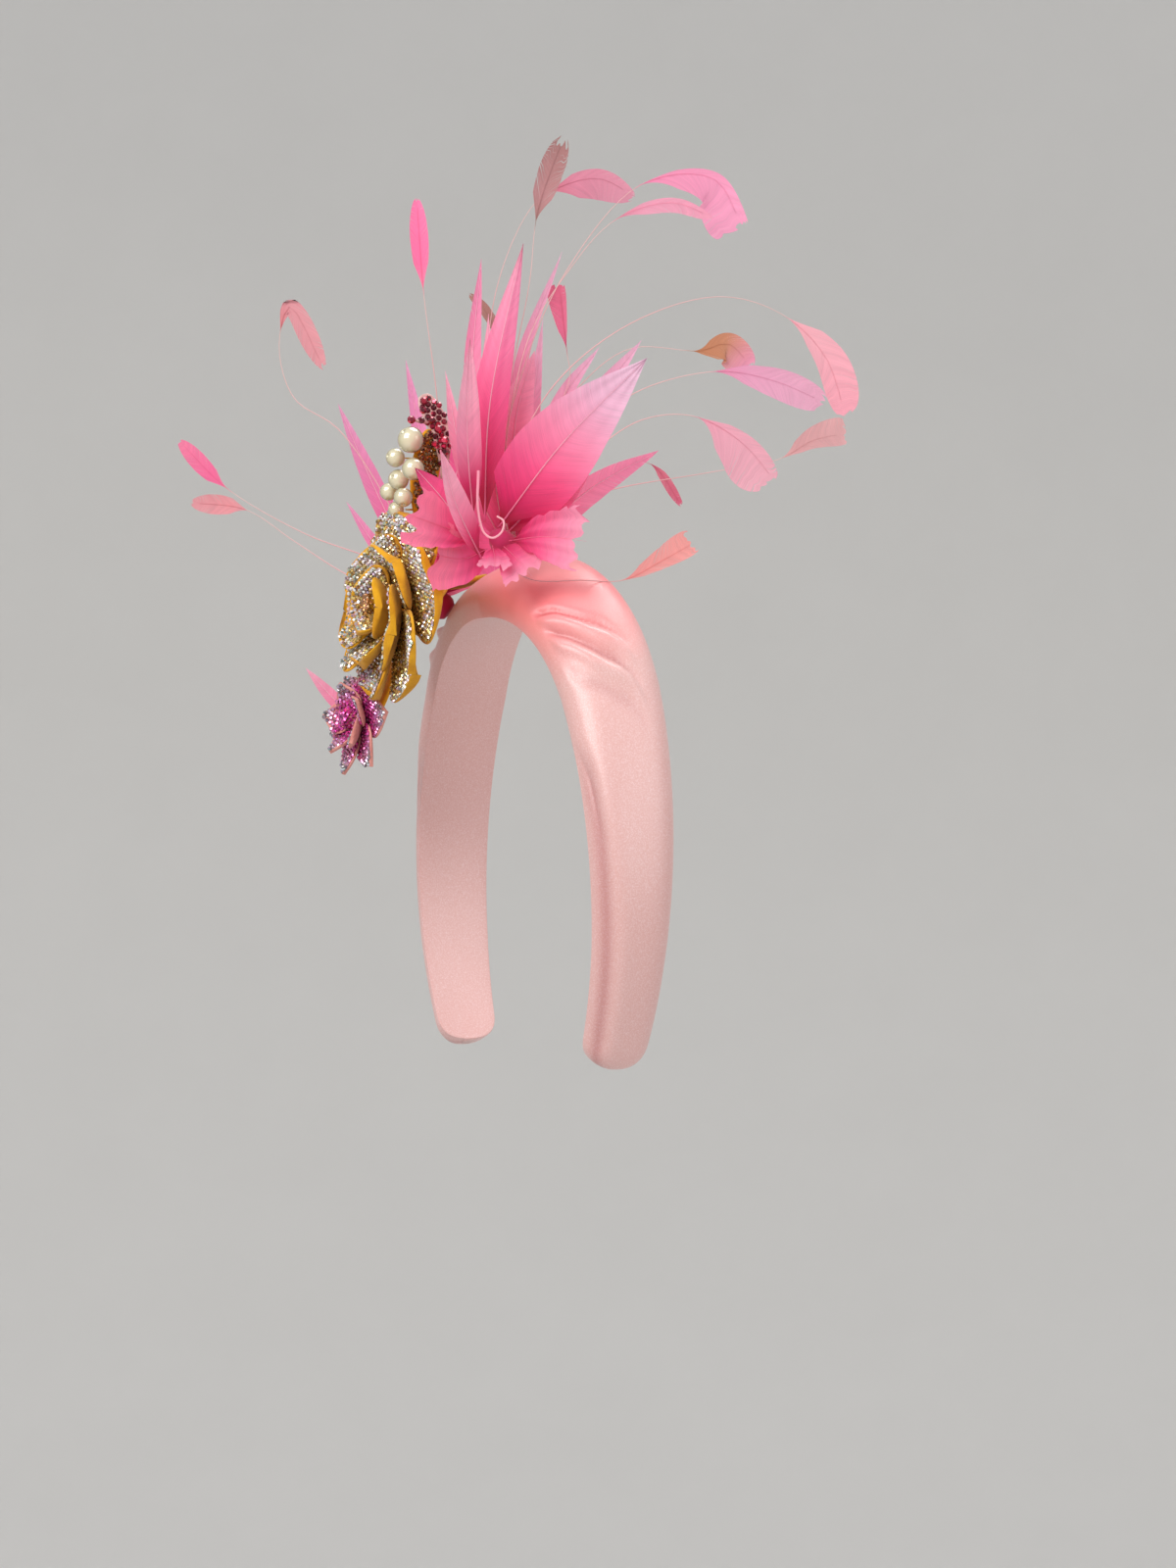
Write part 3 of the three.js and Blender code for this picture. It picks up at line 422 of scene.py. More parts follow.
def felt_plate(place, thickness, rows=26, sides=40):
    """A flat oval section with rounded edges carried along a blade: its points and faces.

    Side and lift are the cosine and sine of the turn, each raised to a power below one, and the
    rows crowd together toward the tip."""
    share = 1 - (1 - np.linspace(0, 1, rows)) ** 1.5
    turn = np.linspace(0, 2 * math.pi, sides, endpoint=False)
    share, turn = np.meshgrid(share, turn, indexing="ij")
    side = np.sign(np.cos(turn)) * np.abs(np.cos(turn)) ** 0.45
    lift = np.sign(np.sin(turn)) * np.abs(np.sin(turn)) ** 0.8 * thickness / 2 * MM
    points = place(share, side, lift)
    return points, closed_tube_faces(rows, sides)


def felt(name, colour, shade):
    """Wool felt: matt, with short tangled fibres that lighten it, and a soft uneven face."""
    material, add = paint(name)
    place = add("TexCoord").outputs["Object"]
    fibres = add("TexNoise", {"Vector": place, "Scale": 1500, "Detail": 5, "Roughness": 0.7})
    drift = add("TexNoise", {"Vector": place, "Scale": 110, "Detail": 3})
    mottle = add("MapRange", {0: drift.outputs["Fac"], 1: 0.35, 2: 0.7}, clamp=True)
    base = colour_mix(add, mottle.outputs[0], shade, colour)
    base = colour_mix(add, 0.16, base, fibres.outputs["Fac"], "OVERLAY")
    relief = add("Bump", {"Height": fibres.outputs["Fac"], "Strength": 0.6, "Distance": 0.0005})
    shader = add("BsdfPrincipled", {
        "Base Color": base, "Roughness": 0.95, "Normal": relief.outputs["Normal"],
        "Sheen Weight": 0.12, "Sheen Roughness": 0.6, "Specular IOR Level": 0.15})
    add("OutputMaterial", {"Surface": shader.outputs["BSDF"]})
    return material


mustard_felt = felt("mustard_felt", (0.78, 0.39, 0.012), (0.56, 0.24, 0.006))
base_parts = []
for strip in FELT_BASE.values():
    spine = np.array(strip["spine"]) * MM
    cut = blade(spine, FELT_BASE_FACING, strip["width"], root=strip["width"] * FELT_BASE_ROOT)
    base_parts.append(felt_plate(cut, FELT_BASE_THICKNESS))


def joined(parts):
    """Points and faces of several shapes as those of one mesh."""
    points = [part[0].reshape(-1, 3) for part in parts]
    starts = np.cumsum([0] + [len(p) for p in points])
    faces = [group + start for part, start in zip(parts, starts) for group in part[1]]
    return np.vstack(points), faces


base_points, base_faces = joined(base_parts)
base = put("mustard_felt_base", base_points, base_faces, [mustard_felt])
stands_for(base, "felt_base")

# Jewelled felt rose
# Petals of mustard felt in three rings round a heart, curled and waved by hand and overlapped.
# Their faces are covered with glued rhinestones: amber at the root, gold, then clear and opal.
ROSE = dict(centre=(-10, -46.5, -5), lean=math.radians(6))
ROSE_RINGS = dict(
    outer=dict(count=6, start=12, profile=[[6, 0], [20, 1], [35, 3]], width=41, roll=12, cup=0.14, wave=1.6),
    middle=dict(count=5, start=40, profile=[[4.5, 3], [14, 5], [23, 12]], width=34, roll=13, cup=0.2,
                wave=1.3),
    inner=dict(count=3, start=110, profile=[[3, 5], [8, 8], [12, 14]], width=23, roll=12, cup=0.3, wave=0.7),
)
ROSE_WAVES = 3.4
ROSE_TIP_CURL = 0.6
ROSE_HEART = dict(radius=3.4, foot=0.7, start=-3, end=14, stones=70, stone_radius=0.9, glow=2.0, seed=99)
FELT_THICKNESS = 2.2
PETAL_ROOT = 3.2
STONE_SPACING = 1.8
STONE_RADIUS = 0.98
STONE_SIDES = 6
# Rows of stones lie closer together than the stones in them, and each stone tilts a little
STONE_ROW_PITCH = 0.87
STONE_TILT = 0.12
# Size and height of a stone's sunk ring, girdle and table, as shares of its radius
STONE_RINGS = [(0.82, -0.25), (1.0, 0.12), (0.56, 0.62)]
# How much darker or lighter a facet can be than its stone, and how often it is
GLINTS, GLINT_CHANCES = [0.3, 0.7, 1.0, 1.8], [0.22, 0.32, 0.28, 0.18]
GLINT_TINT = 0.10
AMBER, GOLD = (0.20, 0.075, 0.012), (0.66, 0.42, 0.13)
CLEAR, OPAL = (0.76, 0.80, 0.74), (0.88, 0.72, 0.80)
ROSE_STONES = dict(margin=0.8, stops=[0.0, 0.35, 0.66, 0.84, 1.0], colours=[AMBER, GOLD, GOLD, CLEAR, CLEAR])
STRAY_STONES = dict(opal_below=0.28, opal_from=0.5, gold_above=0.86)


def flower_axes(centre, axis):
    """A flower's centre in metres, and its right, up and front directions."""
    front = unit(np.asarray(axis, float))
    right = unit(np.array([1.0, 0, 0]) - front * front[0])
    return np.asarray(centre, float) * MM, right, np.cross(front, right), front


def ring_petal(axes, ring, index, outline, wave):
    """One petal of a ring: a blade out from the flower's axis along the ring's profile."""
    centre, right, up, front = axes
    turn = math.radians(ring["start"] + 360 * index / ring["count"])
    radial = right * math.cos(turn) + up * math.sin(turn)
    profile = np.array(ring["profile"], float) * MM
    spine = centre + np.outer(profile[:, 0], radial) + np.outer(profile[:, 1], front)
    return blade(spine, front, ring["width"], ring["roll"], PETAL_ROOT, ring["cup"], outline, wave)


def stone_places(place, spacing, margin, thickness, seed):
    """Staggered rows of places over a blade's face, with the face's direction and share at each."""
    rng = np.random.default_rng(seed)
    rows = np.arange(0.6, place.length / MM / (spacing * STONE_ROW_PITCH) - 0.2)
    columns = np.arange(-14, 15)
    row, column = np.meshgrid(rows, columns, indexing="ij")
    share = row * spacing * STONE_ROW_PITCH * MM / place.length + rng.normal(0, 0.003, row.shape)
    off = (column + (row.round() % 2) / 2) * spacing + rng.normal(0, 0.07, row.shape)
    share = np.clip(share, 0, 0.985)
    half = place.half_width(share) / MM
    kept = np.abs(off) < half - margin
    share, side = share[kept], (off / half)[kept]
    lift = thickness / 2 * MM
    step = 0.01
    centre = place(share, side, lift)
    along = place(share + step, side, lift) - place(share - step, side, lift)
    across = place(share, side + step, lift) - place(share, side - step, lift)
    normal = unit(np.cross(along, across))
    outer = unit(centre - place(share, side, -lift))
    normal *= np.sign(np.sum(normal * outer, axis=-1, keepdims=True))
    return centre, normal, share


def cut_stones(centre, normal, radius, seed, sides):
    """Faceted stones on a surface: a ring sunk in the felt, a girdle ring and a table ring."""
    rng = np.random.default_rng(seed)
    count = len(centre)
    normal = unit(normal + rng.normal(0, STONE_TILT, normal.shape))
    helper = np.where(np.abs(normal[:, 2:]) > 0.9, [[1.0, 0, 0]], [[0, 0, 1.0]])
    first = unit(np.cross(normal, helper))
    second = np.cross(normal, first)
    turn = rng.uniform(0, 2 * math.pi, (count, 1)) + np.arange(sides) * 2 * math.pi / sides
    radius = np.broadcast_to(radius, count)[:, None, None] * MM
    spoke = first[:, None] * np.cos(turn)[..., None] + second[:, None] * np.sin(turn)[..., None]
    points = np.stack([centre[:, None] + spoke * radius * size + normal[:, None] * radius * height
                       for size, height in STONE_RINGS], axis=1)
    step = np.arange(sides)
    low, high = np.meshgrid([0, 1], step, indexing="ij")
    quads = np.stack([low * sides + high, low * sides + (high + 1) % sides,
                      (low + 1) * sides + (high + 1) % sides, (low + 1) * sides + high], axis=-1)
    caps = np.stack([step[::-1], 2 * sides + step])
    offset = np.arange(count)[:, None, None] * 3 * sides
    return points.reshape(-1, 3), [(quads.reshape(1, -1, 4) + offset).reshape(-1, 4),
                                   (caps[None] + offset).reshape(-1, sides)]


def facet_colours(stone_colours, seed, sides):
    """A colour for each facet: its stone's, darker or lighter by chance as a cut stone glints."""
    rng = np.random.default_rng(seed)
    count = len(stone_colours)
    glint = rng.choice(GLINTS, (count, sides * 2 + 2), p=GLINT_CHANCES)
    tint = 1 + rng.normal(0, GLINT_TINT, (count, sides * 2 + 2, 3))
    colours = np.clip(stone_colours[:, None] * glint[..., None] * tint, 0, 1)
    return np.concatenate([colours[:, :sides * 2].reshape(-1, 3), colours[:, sides * 2:].reshape(-1, 3)])


def stone_material():
    """Foiled glass: each facet takes its own colour, mirrors sharply and has a clear coat."""
    material, add = paint("foiled_stones")
    colour = add("Attribute", attribute_name="stone").outputs["Color"]
    shader = add("BsdfPrincipled", {
        "Base Color": colour, "Metallic": 0.55, "Roughness": 0.12, "Specular IOR Level": 0.8,
        "Coat Weight": 0.6, "Coat Roughness": 0.04})
    add("OutputMaterial", {"Surface": shader.outputs["BSDF"]})
    return material


def palette(share, stops, colours):
    """Colours run through a palette by share, each channel on its own."""
    colours = np.array(colours)
    return np.stack([np.interp(share, stops, colours[:, k]) for k in range(3)], axis=-1)


def jewelled(name, plates, stones, stone_colours, backing, seed, sides=STONE_SIDES, extra=()):
    """One piece of plates with stones on them, the plates and extra parts first, then the stones."""
    centre, normal, radius = stones
    stone_points, stone_faces = cut_stones(centre, normal, radius, seed, sides)
    points, faces = joined([*plates, *extra, (stone_points, stone_faces)])
    count = sum(len(group) for part in [*plates, *extra] for group in part[1])
    stone_count = sum(len(group) for group in stone_faces)
    kinds = np.concatenate([np.zeros(count), np.ones(stone_count)])
    piece = put(name, points, faces, [backing, stones_look], face_material=kinds)
    layer = piece.data.attributes.new("stone", "FLOAT_COLOR", "FACE")
    rgb = np.vstack([np.zeros((count, 3)), facet_colours(stone_colours, seed, sides)])
    layer.data.foreach_set("color", np.column_stack([rgb, np.ones(len(rgb))]).astype(np.float32).ravel())
    return piece


stones_look = stone_material()
rose_axes = flower_axes(ROSE["centre"], (0, -math.cos(ROSE["lean"]), math.sin(ROSE["lean"])))
rose_seed = 0
for ring_name, ring in ROSE_RINGS.items():
    for index in range(ring["count"]):
        rose_seed += 1
        chance = np.random.default_rng(rose_seed)
        phase, depth = chance.uniform(0, 2 * math.pi), ring["wave"]

        def wave(share, side, phase=phase, depth=depth):
            """Waves across that grow with the square of the share, and a tip that curls back."""
            waves = depth * share ** 2 * np.sin(ROSE_WAVES * side + phase)
            return waves - ROSE_TIP_CURL * depth * share ** 6

        petal = ring_petal(rose_axes, ring, index, OUTLINES["round"], wave)
        centre, normal, share = stone_places(petal, STONE_SPACING, ROSE_STONES["margin"], FELT_THICKNESS,
                                             rose_seed)
        jitter = chance.normal(0, 0.1, share.shape)
        colours = palette(share + jitter, ROSE_STONES["stops"], ROSE_STONES["colours"])
        kind = chance.uniform(0, 1, share.shape)[:, None]
        outer_half = (share > STRAY_STONES["opal_from"])[:, None]
        colours = np.where((kind < STRAY_STONES["opal_below"]) & outer_half, np.array(OPAL), colours)
        colours = np.where(kind > STRAY_STONES["gold_above"], np.array(GOLD), colours)
        piece = jewelled(f"felt_rose_{ring_name}_{index + 1}", [felt_plate(petal, FELT_THICKNESS)],
                         (centre, normal, STONE_RADIUS), colours, mustard_felt, rose_seed)
        stands_for(piece, f"rose_{ring_name}_petal_{index + 1}")


def rolled_rod(start, end, start_radius, end_radius, sides=20, rows=10):
    """A round rod between two points with slightly domed ends: its points and faces."""
    along = unit(end - start)
    helper = np.array([1.0, 0, 0]) if abs(along[2]) > 0.9 else np.array([0, 0, 1.0])
    first = unit(np.cross(along, helper))
    second = np.cross(along, first)
    share = np.linspace(0, 1, rows)[:, None]
    turn = np.linspace(0, 2 * math.pi, sides, endpoint=False)[None]
    dome = np.clip(np.minimum(share, 1 - share) * rows / 1.5, 0.35, 1) ** 0.5
    radius = (start_radius + (end_radius - start_radius) * share) * dome * MM
    centre = start + (end - start) * share[..., None]
    ring = first * (radius * np.cos(turn))[..., None] + second * (radius * np.sin(turn))[..., None]
    points = centre + ring
    return points, closed_tube_faces(rows, sides)


def rod_stones(start, end, foot, rim, count):
    """Stones wound in a spiral up the outer half of a rod, then inward over its end."""
    along = unit(end - start)
    first = unit(np.cross(along, UP))
    second = np.cross(along, first)
    way = np.linspace(0, 1, count)
    turn = np.arange(count) * 2.4
    out = first * np.cos(turn)[:, None] + second * np.sin(turn)[:, None]
    height = np.minimum(1, 0.45 + 0.9 * way)
    radius = (foot + (rim - foot) * height) * np.sqrt(np.clip((1 - way) / 0.4, 0, 1)) * MM
    normal = unit(out * (height < 1)[:, None] + along * (height >= 1)[:, None])
    return start + np.outer(height, end - start) + out * radius[:, None], normal


heart_ends = [rose_axes[0] + rose_axes[3] * ROSE_HEART[end] * MM for end in ("start", "end")]
heart_size = ROSE_HEART["radius"] * ROSE_HEART["foot"], ROSE_HEART["radius"]
heart_centres, heart_normals = rod_stones(*heart_ends, *heart_size, ROSE_HEART["stones"])
heart_colours = np.tile(np.array(AMBER) * ROSE_HEART["glow"], (ROSE_HEART["stones"], 1))
heart_stones = heart_centres, heart_normals, ROSE_HEART["stone_radius"]
heart = jewelled("felt_rose_heart", [rolled_rod(*heart_ends, *heart_size)], heart_stones, heart_colours,
                 mustard_felt, ROSE_HEART["seed"])
stands_for(heart, "rose_heart")

# Wired pearls
# Seven round ivory pearls of 6 to 10 mm in a bunch above the rose. Each is drilled and glued to a
# wire, and the wires are made with the leaf behind them.
PEARLS = [
    dict(at=[-41, 57, 22], radius=4.9),
    dict(at=[-47, 51, 16], radius=3.6),
    dict(at=[-46, 43, 14], radius=3.9),
    dict(at=[-40, 46, 24], radius=4.2),
    dict(at=[-50, 39, 8], radius=3.4),
    dict(at=[-44, 36, 18], radius=3.6),
    dict(at=[-47, 32, 12], radius=3.0),
]
PEARL_DRILL = 0.5 * NEAR - ACROSS + 0.4 * UP
PEARL_DIMPLE = dict(depth=0.28, breadth=0.13)


def pearl_surface(centre, radius, drill, rows=28, sides=36):
    """A sphere whose poles lie on the drill direction, dimpled at the pole where it is drilled."""
    from_pole = np.linspace(0.02, math.pi - 0.02, rows)
    down, turn = np.meshgrid(from_pole, np.linspace(0, 2 * math.pi, sides, False), indexing="ij")
    drill = unit(np.asarray(drill, float))
    first = unit(np.cross(drill, [0.3, 0.1, 1.0]))
    second = np.cross(drill, first)
    dimple = PEARL_DIMPLE["depth"] * np.exp(-(down / PEARL_DIMPLE["breadth"]) ** 2)
    size = radius * (1 - dimple) * MM
    level = first * np.cos(turn)[..., None] + second * np.sin(turn)[..., None]
    spoke = level * np.sin(down)[..., None] + drill * np.cos(down)[..., None]
    return centre + spoke * size[..., None], closed_tube_faces(rows, sides)


def pearl_material():
    """Ivory pearl: a warm body with painted shade that darkens it toward the rim, under a smooth nacre coat.
    """
    material, add = paint("ivory_pearl")
    place = add("TexCoord").outputs["Object"]
    cloud = add("TexNoise", {"Vector": place, "Scale": 260, "Detail": 2})
    facing = add("LayerWeight", {"Blend": 0.5})
    base = colour_mix(add, cloud.outputs["Fac"], (0.76, 0.69, 0.46), (0.86, 0.80, 0.59))
    # Painted shade: the colour darkens toward the rim as the surface turns from view
    base = colour_mix(add, facing.outputs["Facing"], base, (0.22, 0.20, 0.09))
    shader = add("BsdfPrincipled", {
        "Base Color": base, "Roughness": 0.16, "Metallic": 0.12, "Specular IOR Level": 0.7,
        "Coat Weight": 1.0, "Coat Roughness": 0.04})
    add("OutputMaterial", {"Surface": shader.outputs["BSDF"]})
    return material


pearl_look = pearl_material()
for number, pearl in enumerate(PEARLS, start=1):
    chance = np.random.default_rng(number)
    drill = PEARL_DRILL + chance.normal(0, 0.5, 3)
    points, faces = pearl_surface(seen([pearl["at"]])[0], pearl["radius"], drill)
    piece = put(f"ivory_pearl_{number}", points, faces, [pearl_look], closed=True)
    stands_for(piece, f"pearl_{number}")

# Jewelled leaf behind the pearls
# One upright leaf of mustard felt, set with dark amber stones. The pearls' wires are sewn to it at
# the height of their pearls, or a little under its tip, and are made with it as one piece.
LEAF = dict(spine=[[-36, 14, 3], [-37, 43, 11], [-33, 62, 12]], width=13, roll=40, root=5, cup=0.1, seed=41)
LEAF_STONE_MARGIN = 1.0
LEAF_STOPS, LEAF_COLOURS = [0, 0.5, 1], [AMBER, (0.22, 0.10, 0.03), (0.30, 0.16, 0.05)]
PEARL_WIRE = dict(radius=0.4, clear_of_pearl=0.4, below_tip=6)
leaf_cut = blade(seen(LEAF["spine"]), NEAR, LEAF["width"], LEAF["roll"], LEAF["root"], LEAF["cup"])
leaf_plate = felt_plate(leaf_cut, FELT_THICKNESS)
leaf_wires = []
for pearl in PEARLS:
    centre = seen([pearl["at"]])[0]
    root = seen([LEAF["spine"][1]])[0]
    root[2] = min(centre[2], (LEAF["spine"][2][1] - PEARL_WIRE["below_tip"]) * MM)
    tip = centre - unit(centre - root) * (pearl["radius"] + PEARL_WIRE["clear_of_pearl"]) * MM
    leaf_wires.append(rolled_rod(root, tip, PEARL_WIRE["radius"], PEARL_WIRE["radius"], sides=10, rows=4))
centre, normal, share = stone_places(leaf_cut, STONE_SPACING, LEAF_STONE_MARGIN, FELT_THICKNESS, LEAF["seed"])
leaf_colours = palette(share, LEAF_STOPS, LEAF_COLOURS)
leaf = jewelled("felt_leaf", [leaf_plate], (centre, normal, STONE_RADIUS), leaf_colours, mustard_felt,
                LEAF["seed"], extra=leaf_wires)
stands_for(leaf, "jewelled_felt_leaf")

# Crystal sprig
# Garnet crystals glued in a cluster to a strip of pale pinkish film with one side arm, which stands
# behind the pearls. Small crystals cover the film between the large ones.
SPRIG = dict(spine=[[-29, 44, 12], [-30, 60, 13], [-37, 75, 12]], width=8, roll=10, root=3, thickness=1.0,
             seed=7)
SPRIG_ARM = dict(ends=[[-33, 64, 13], [-41, 65, 17]], radius=0.7)
SMALL_CRYSTALS = dict(spacing=2.4, margin=0.3, radius=1.15)
CRYSTAL_SIDES = 8
CRYSTALS = [
    dict(at=[-36.5, 72.4, 13.6], radius=1.5), dict(at=[-36.8, 69, 13.6], radius=1.4),
    dict(at=[-41, 65, 17.4], radius=1.6), dict(at=[-37.4, 65, 15.6], radius=1.4),
    dict(at=[-33.6, 65.2, 14.4], radius=1.4), dict(at=[-31, 61.8, 14.4], radius=1.6),
    dict(at=[-34.4, 60.2, 14.4], radius=1.3), dict(at=[-29, 57.6, 14.4], radius=1.5),
    dict(at=[-32.4, 56.2, 14.4], radius=1.3), dict(at=[-28.6, 53.4, 14], radius=1.4),
]
GARNET = (0.20, 0.012, 0.03)


def pale_film():
    """Pale pink film, faintly clouded."""
    material, add = paint("pale_film")
    place = add("TexCoord").outputs["Object"]
    cloud = add("TexNoise", {"Vector": place, "Scale": 300, "Detail": 3})
    base = colour_mix(add, cloud.outputs["Fac"], (0.50, 0.26, 0.24), (0.72, 0.50, 0.46))
    shader = add("BsdfPrincipled", {"Base Color": base, "Roughness": 0.35, "Specular IOR Level": 0.5})
    add("OutputMaterial", {"Surface": shader.outputs["BSDF"]})
    return material


sprig_cut = blade(seen(SPRIG["spine"]), NEAR, SPRIG["width"], SPRIG["roll"], SPRIG["root"])
arm_radius = SPRIG_ARM["radius"]
sprig_extra = [rolled_rod(*seen(SPRIG_ARM["ends"]), arm_radius, arm_radius, sides=10, rows=4)]
chance = np.random.default_rng(SPRIG["seed"])
small_centres, small_normals = stone_places(
    sprig_cut, SMALL_CRYSTALS["spacing"], SMALL_CRYSTALS["margin"], SPRIG["thickness"], SPRIG["seed"])[:2]
crystal_centres = np.vstack([seen([crystal["at"] for crystal in CRYSTALS]), small_centres])
small_radii = [SMALL_CRYSTALS["radius"]] * len(small_centres)
crystal_radius = np.array([crystal["radius"] for crystal in CRYSTALS] + small_radii)
crystal_normals = np.vstack([np.tile(NEAR, (len(CRYSTALS), 1)), small_normals])
crystal_count = len(crystal_centres)
crystal_colours = np.tile(np.array(GARNET), (crystal_count, 1)) * chance.uniform(0.6, 2.6, (crystal_count, 1))
crystals = crystal_centres, crystal_normals, crystal_radius
sprig_strip = felt_plate(sprig_cut, SPRIG["thickness"])
sprig = jewelled("garnet_sprig", [sprig_strip], crystals, crystal_colours, pale_film(), SPRIG["seed"],
                 sides=CRYSTAL_SIDES, extra=sprig_extra)
stands_for(sprig, "crystal_sprig")

# Small pink flower
# Pointed petals of salmon felt in two layers, with fuchsia stones on their faces that turn to
# grey at the tips, round a narrow rolled centre.
PINK_FLOWER = dict(centre=(-33, -51, -47), axis=(0.07, -0.98, 0.1))
PINK_LAYERS = dict(
    back=dict(count=6, start=8, profile=[[3.4, 0], [12, 1], [22, 2]], width=16, roll=10, cup=0.14),
    front=dict(count=5, start=30, profile=[[2.6, 2], [8, 5], [14, 10]], width=13, roll=12, cup=0.25),
)
PINK_CENTRES = dict(
    back=dict(low=-1.4, high=1.4, foot=5, rim=5),
    front=dict(low=-1.5, high=9, foot=3.4, rim=2.2),
)
PINK_FELT_THICKNESS = 1.6
PINK_STONES = dict(spacing=1.75, margin=0.3, radius=0.95, in_core=46)
PINK_SEED = 60
FUCHSIA, ROSE_PINK, SMOKE = (0.62, 0.045, 0.30), (0.80, 0.25, 0.50), (0.42, 0.38, 0.44)
PINK_STOPS, PINK_COLOURS = [0, 0.4, 0.62, 0.85], [FUCHSIA, FUCHSIA, ROSE_PINK, SMOKE]

salmon_felt = felt("salmon_felt", (0.76, 0.34, 0.29), (0.60, 0.22, 0.19))
pink_axes = flower_axes(PINK_FLOWER["centre"], PINK_FLOWER["axis"])
for layer_name, layer in PINK_LAYERS.items():
    plates, centres, normals, tones = [], [], [], []
    for index in range(layer["count"]):
        petal = ring_petal(pink_axes, layer, index, OUTLINES["pointed"], None)
        plates.append(felt_plate(petal, PINK_FELT_THICKNESS, rows=18, sides=28))
        centre, normal, share = stone_places(petal, PINK_STONES["spacing"], PINK_STONES["margin"],
                                             PINK_FELT_THICKNESS, PINK_SEED + index)
        centres.append(centre)
        normals.append(normal)
        tones.append(palette(share, PINK_STOPS, PINK_COLOURS))
    core = PINK_CENTRES[layer_name]
    core_ends = [pink_axes[0] + pink_axes[3] * core[end] * MM for end in ("low", "high")]
    plates.append(rolled_rod(*core_ends, core["foot"], core["rim"]))
    if layer_name == "front":
        centre, normal = rod_stones(*core_ends, core["foot"], core["rim"], PINK_STONES["in_core"])
        centres.append(centre)
        normals.append(normal)
        tones.append(np.tile(np.array(FUCHSIA), (PINK_STONES["in_core"], 1)))
    stones = np.vstack(centres), np.vstack(normals), PINK_STONES["radius"]
    piece = jewelled(f"salmon_flower_{layer_name}", plates, stones, np.vstack(tones), salmon_felt, PINK_SEED)
    stands_for(piece, f"pink_flower_{layer_name}")

# Near feather flower
# Broad feathers dyed pink, cut to petals and set round a deep throat on the wearer's left. Each is
# a quill with barbs that lean to its tip, hot pink at the root and lighter toward its end.
# The dark crimson at the feathers' roots is partly their deep dye and partly painted shade of the throat
THROAT_DYE_AND_SHADE, DEEP = (0.42, 0.003, 0.04), (0.74, 0.025, 0.16)
HOT, PINK = (0.92, 0.10, 0.29), (0.95, 0.27, 0.45)
PALE, LILAC, LILAC_WHITE = (0.94, 0.42, 0.56), (0.86, 0.48, 0.65), (0.82, 0.56, 0.71)
WARM_PINK = (0.96, 0.21, 0.37)
NEAR_PETALS = [
    dict(name="bottom_small", spine=[[-10, 16, 43], [-9, 11, 49], [-9, 6, 53]], width=13, roll=0, cup=0.1,
         end="blunt", dyes=[HOT, PINK, PALE], pleat=0.5, fold=0.0),
    dict(name="bottom", spine=[[-7, 17, 41], [0, 10, 47], [5, 4, 51]], width=21, roll=-10, cup=0.1,
         end="blunt", dyes=[HOT, PINK, PALE], pleat=0.5, fold=0.0),
    dict(name="pale_leaf", spine=[[-14, 11, 50], [-23, 30, 60], [-28, 49, 63]], width=12, roll=48, cup=0.2,
         end="pointed", dyes=[PINK, PALE, PALE], pleat=0.2, fold=0.6),
    dict(name="left_upper", spine=[[-14, 18, 45], [-27, 22, 53], [-42, 27, 57]], width=23, roll=12, cup=0.12,
         end="blunt", dyes=[HOT, WARM_PINK, WARM_PINK], pleat=0.7, fold=0.0),
    dict(name="left_lower", spine=[[-12, 15, 42], [-21, 11, 47], [-33, 13, 49]], width=26, roll=-14, cup=0.12,
         end="blunt", dyes=[HOT, WARM_PINK, WARM_PINK], pleat=0.8, fold=0.0),
    dict(name="right_ruffled", spine=[[-4, 18, 42], [9, 19, 49], [25, 17, 54]], width=25, roll=-8, cup=0.15,
         end="blunt", dyes=[HOT, PINK, PALE], pleat=1.0, fold=0.0),
    dict(name="right_large", spine=[[-8, 23, 40], [16, 53, 52], [46, 82, 62]], width=30, roll=10, cup=0.16,
         end="spear", dyes=[HOT, PINK, LILAC, LILAC_WHITE], pleat=0.3, fold=-0.7),
    dict(name="right_under", spine=[[-5, 21, 37], [11, 37, 42], [29, 53, 45]], width=21, roll=-6, cup=0.14,
         end="pointed", dyes=[HOT, PINK, PINK], pleat=0.5, fold=-0.4),
    dict(name="dark_tip", spine=[[-19, 21, 40], [-29, 34, 46], [-38, 44, 48]], width=11, roll=10, cup=0.1,
         end="pointed", dyes=[HOT, HOT, (0.62, 0.05, 0.18)], pleat=0.2, fold=0.4),
    dict(name="narrow_pale", spine=[[-17, 25, 44], [-19, 54, 48], [-18, 91, 47]], width=11, roll=35, cup=0.12,
         end="pointed", dyes=[PINK, PALE, PALE], pleat=0.2, fold=0.4),
    # The tall petal's far half is painted darker, as painted shade
    dict(name="tall", spine=[[-13, 25, 40], [-11, 69, 38], [1, 128, 32]], width=14, roll=-10, cup=0.18,
         end="spear", dyes=[HOT, PINK, PALE], pleat=0.2, fold=-1.2, painted_shade_side=(0.88, 0.72, 0.82)),
]
PLEATS_ACROSS = 3.5
FEATHER_ROOT = 1.6
END_KNOTS = 13
QUILL_LIFT = 0.15
QUILL_FINISH = 0.97
DYE_CROWDING = 1.7


def grid_faces(rows, columns):
    """Quads between neighbouring points of an open grid."""
    row, column = np.meshgrid(np.arange(rows - 1), np.arange(columns - 1), indexing="ij")
    corner = row * columns + column
    corners = [corner, corner + 1, corner + columns + 1, corner + columns]
    return np.stack(corners, axis=-1).reshape(-1, 4)


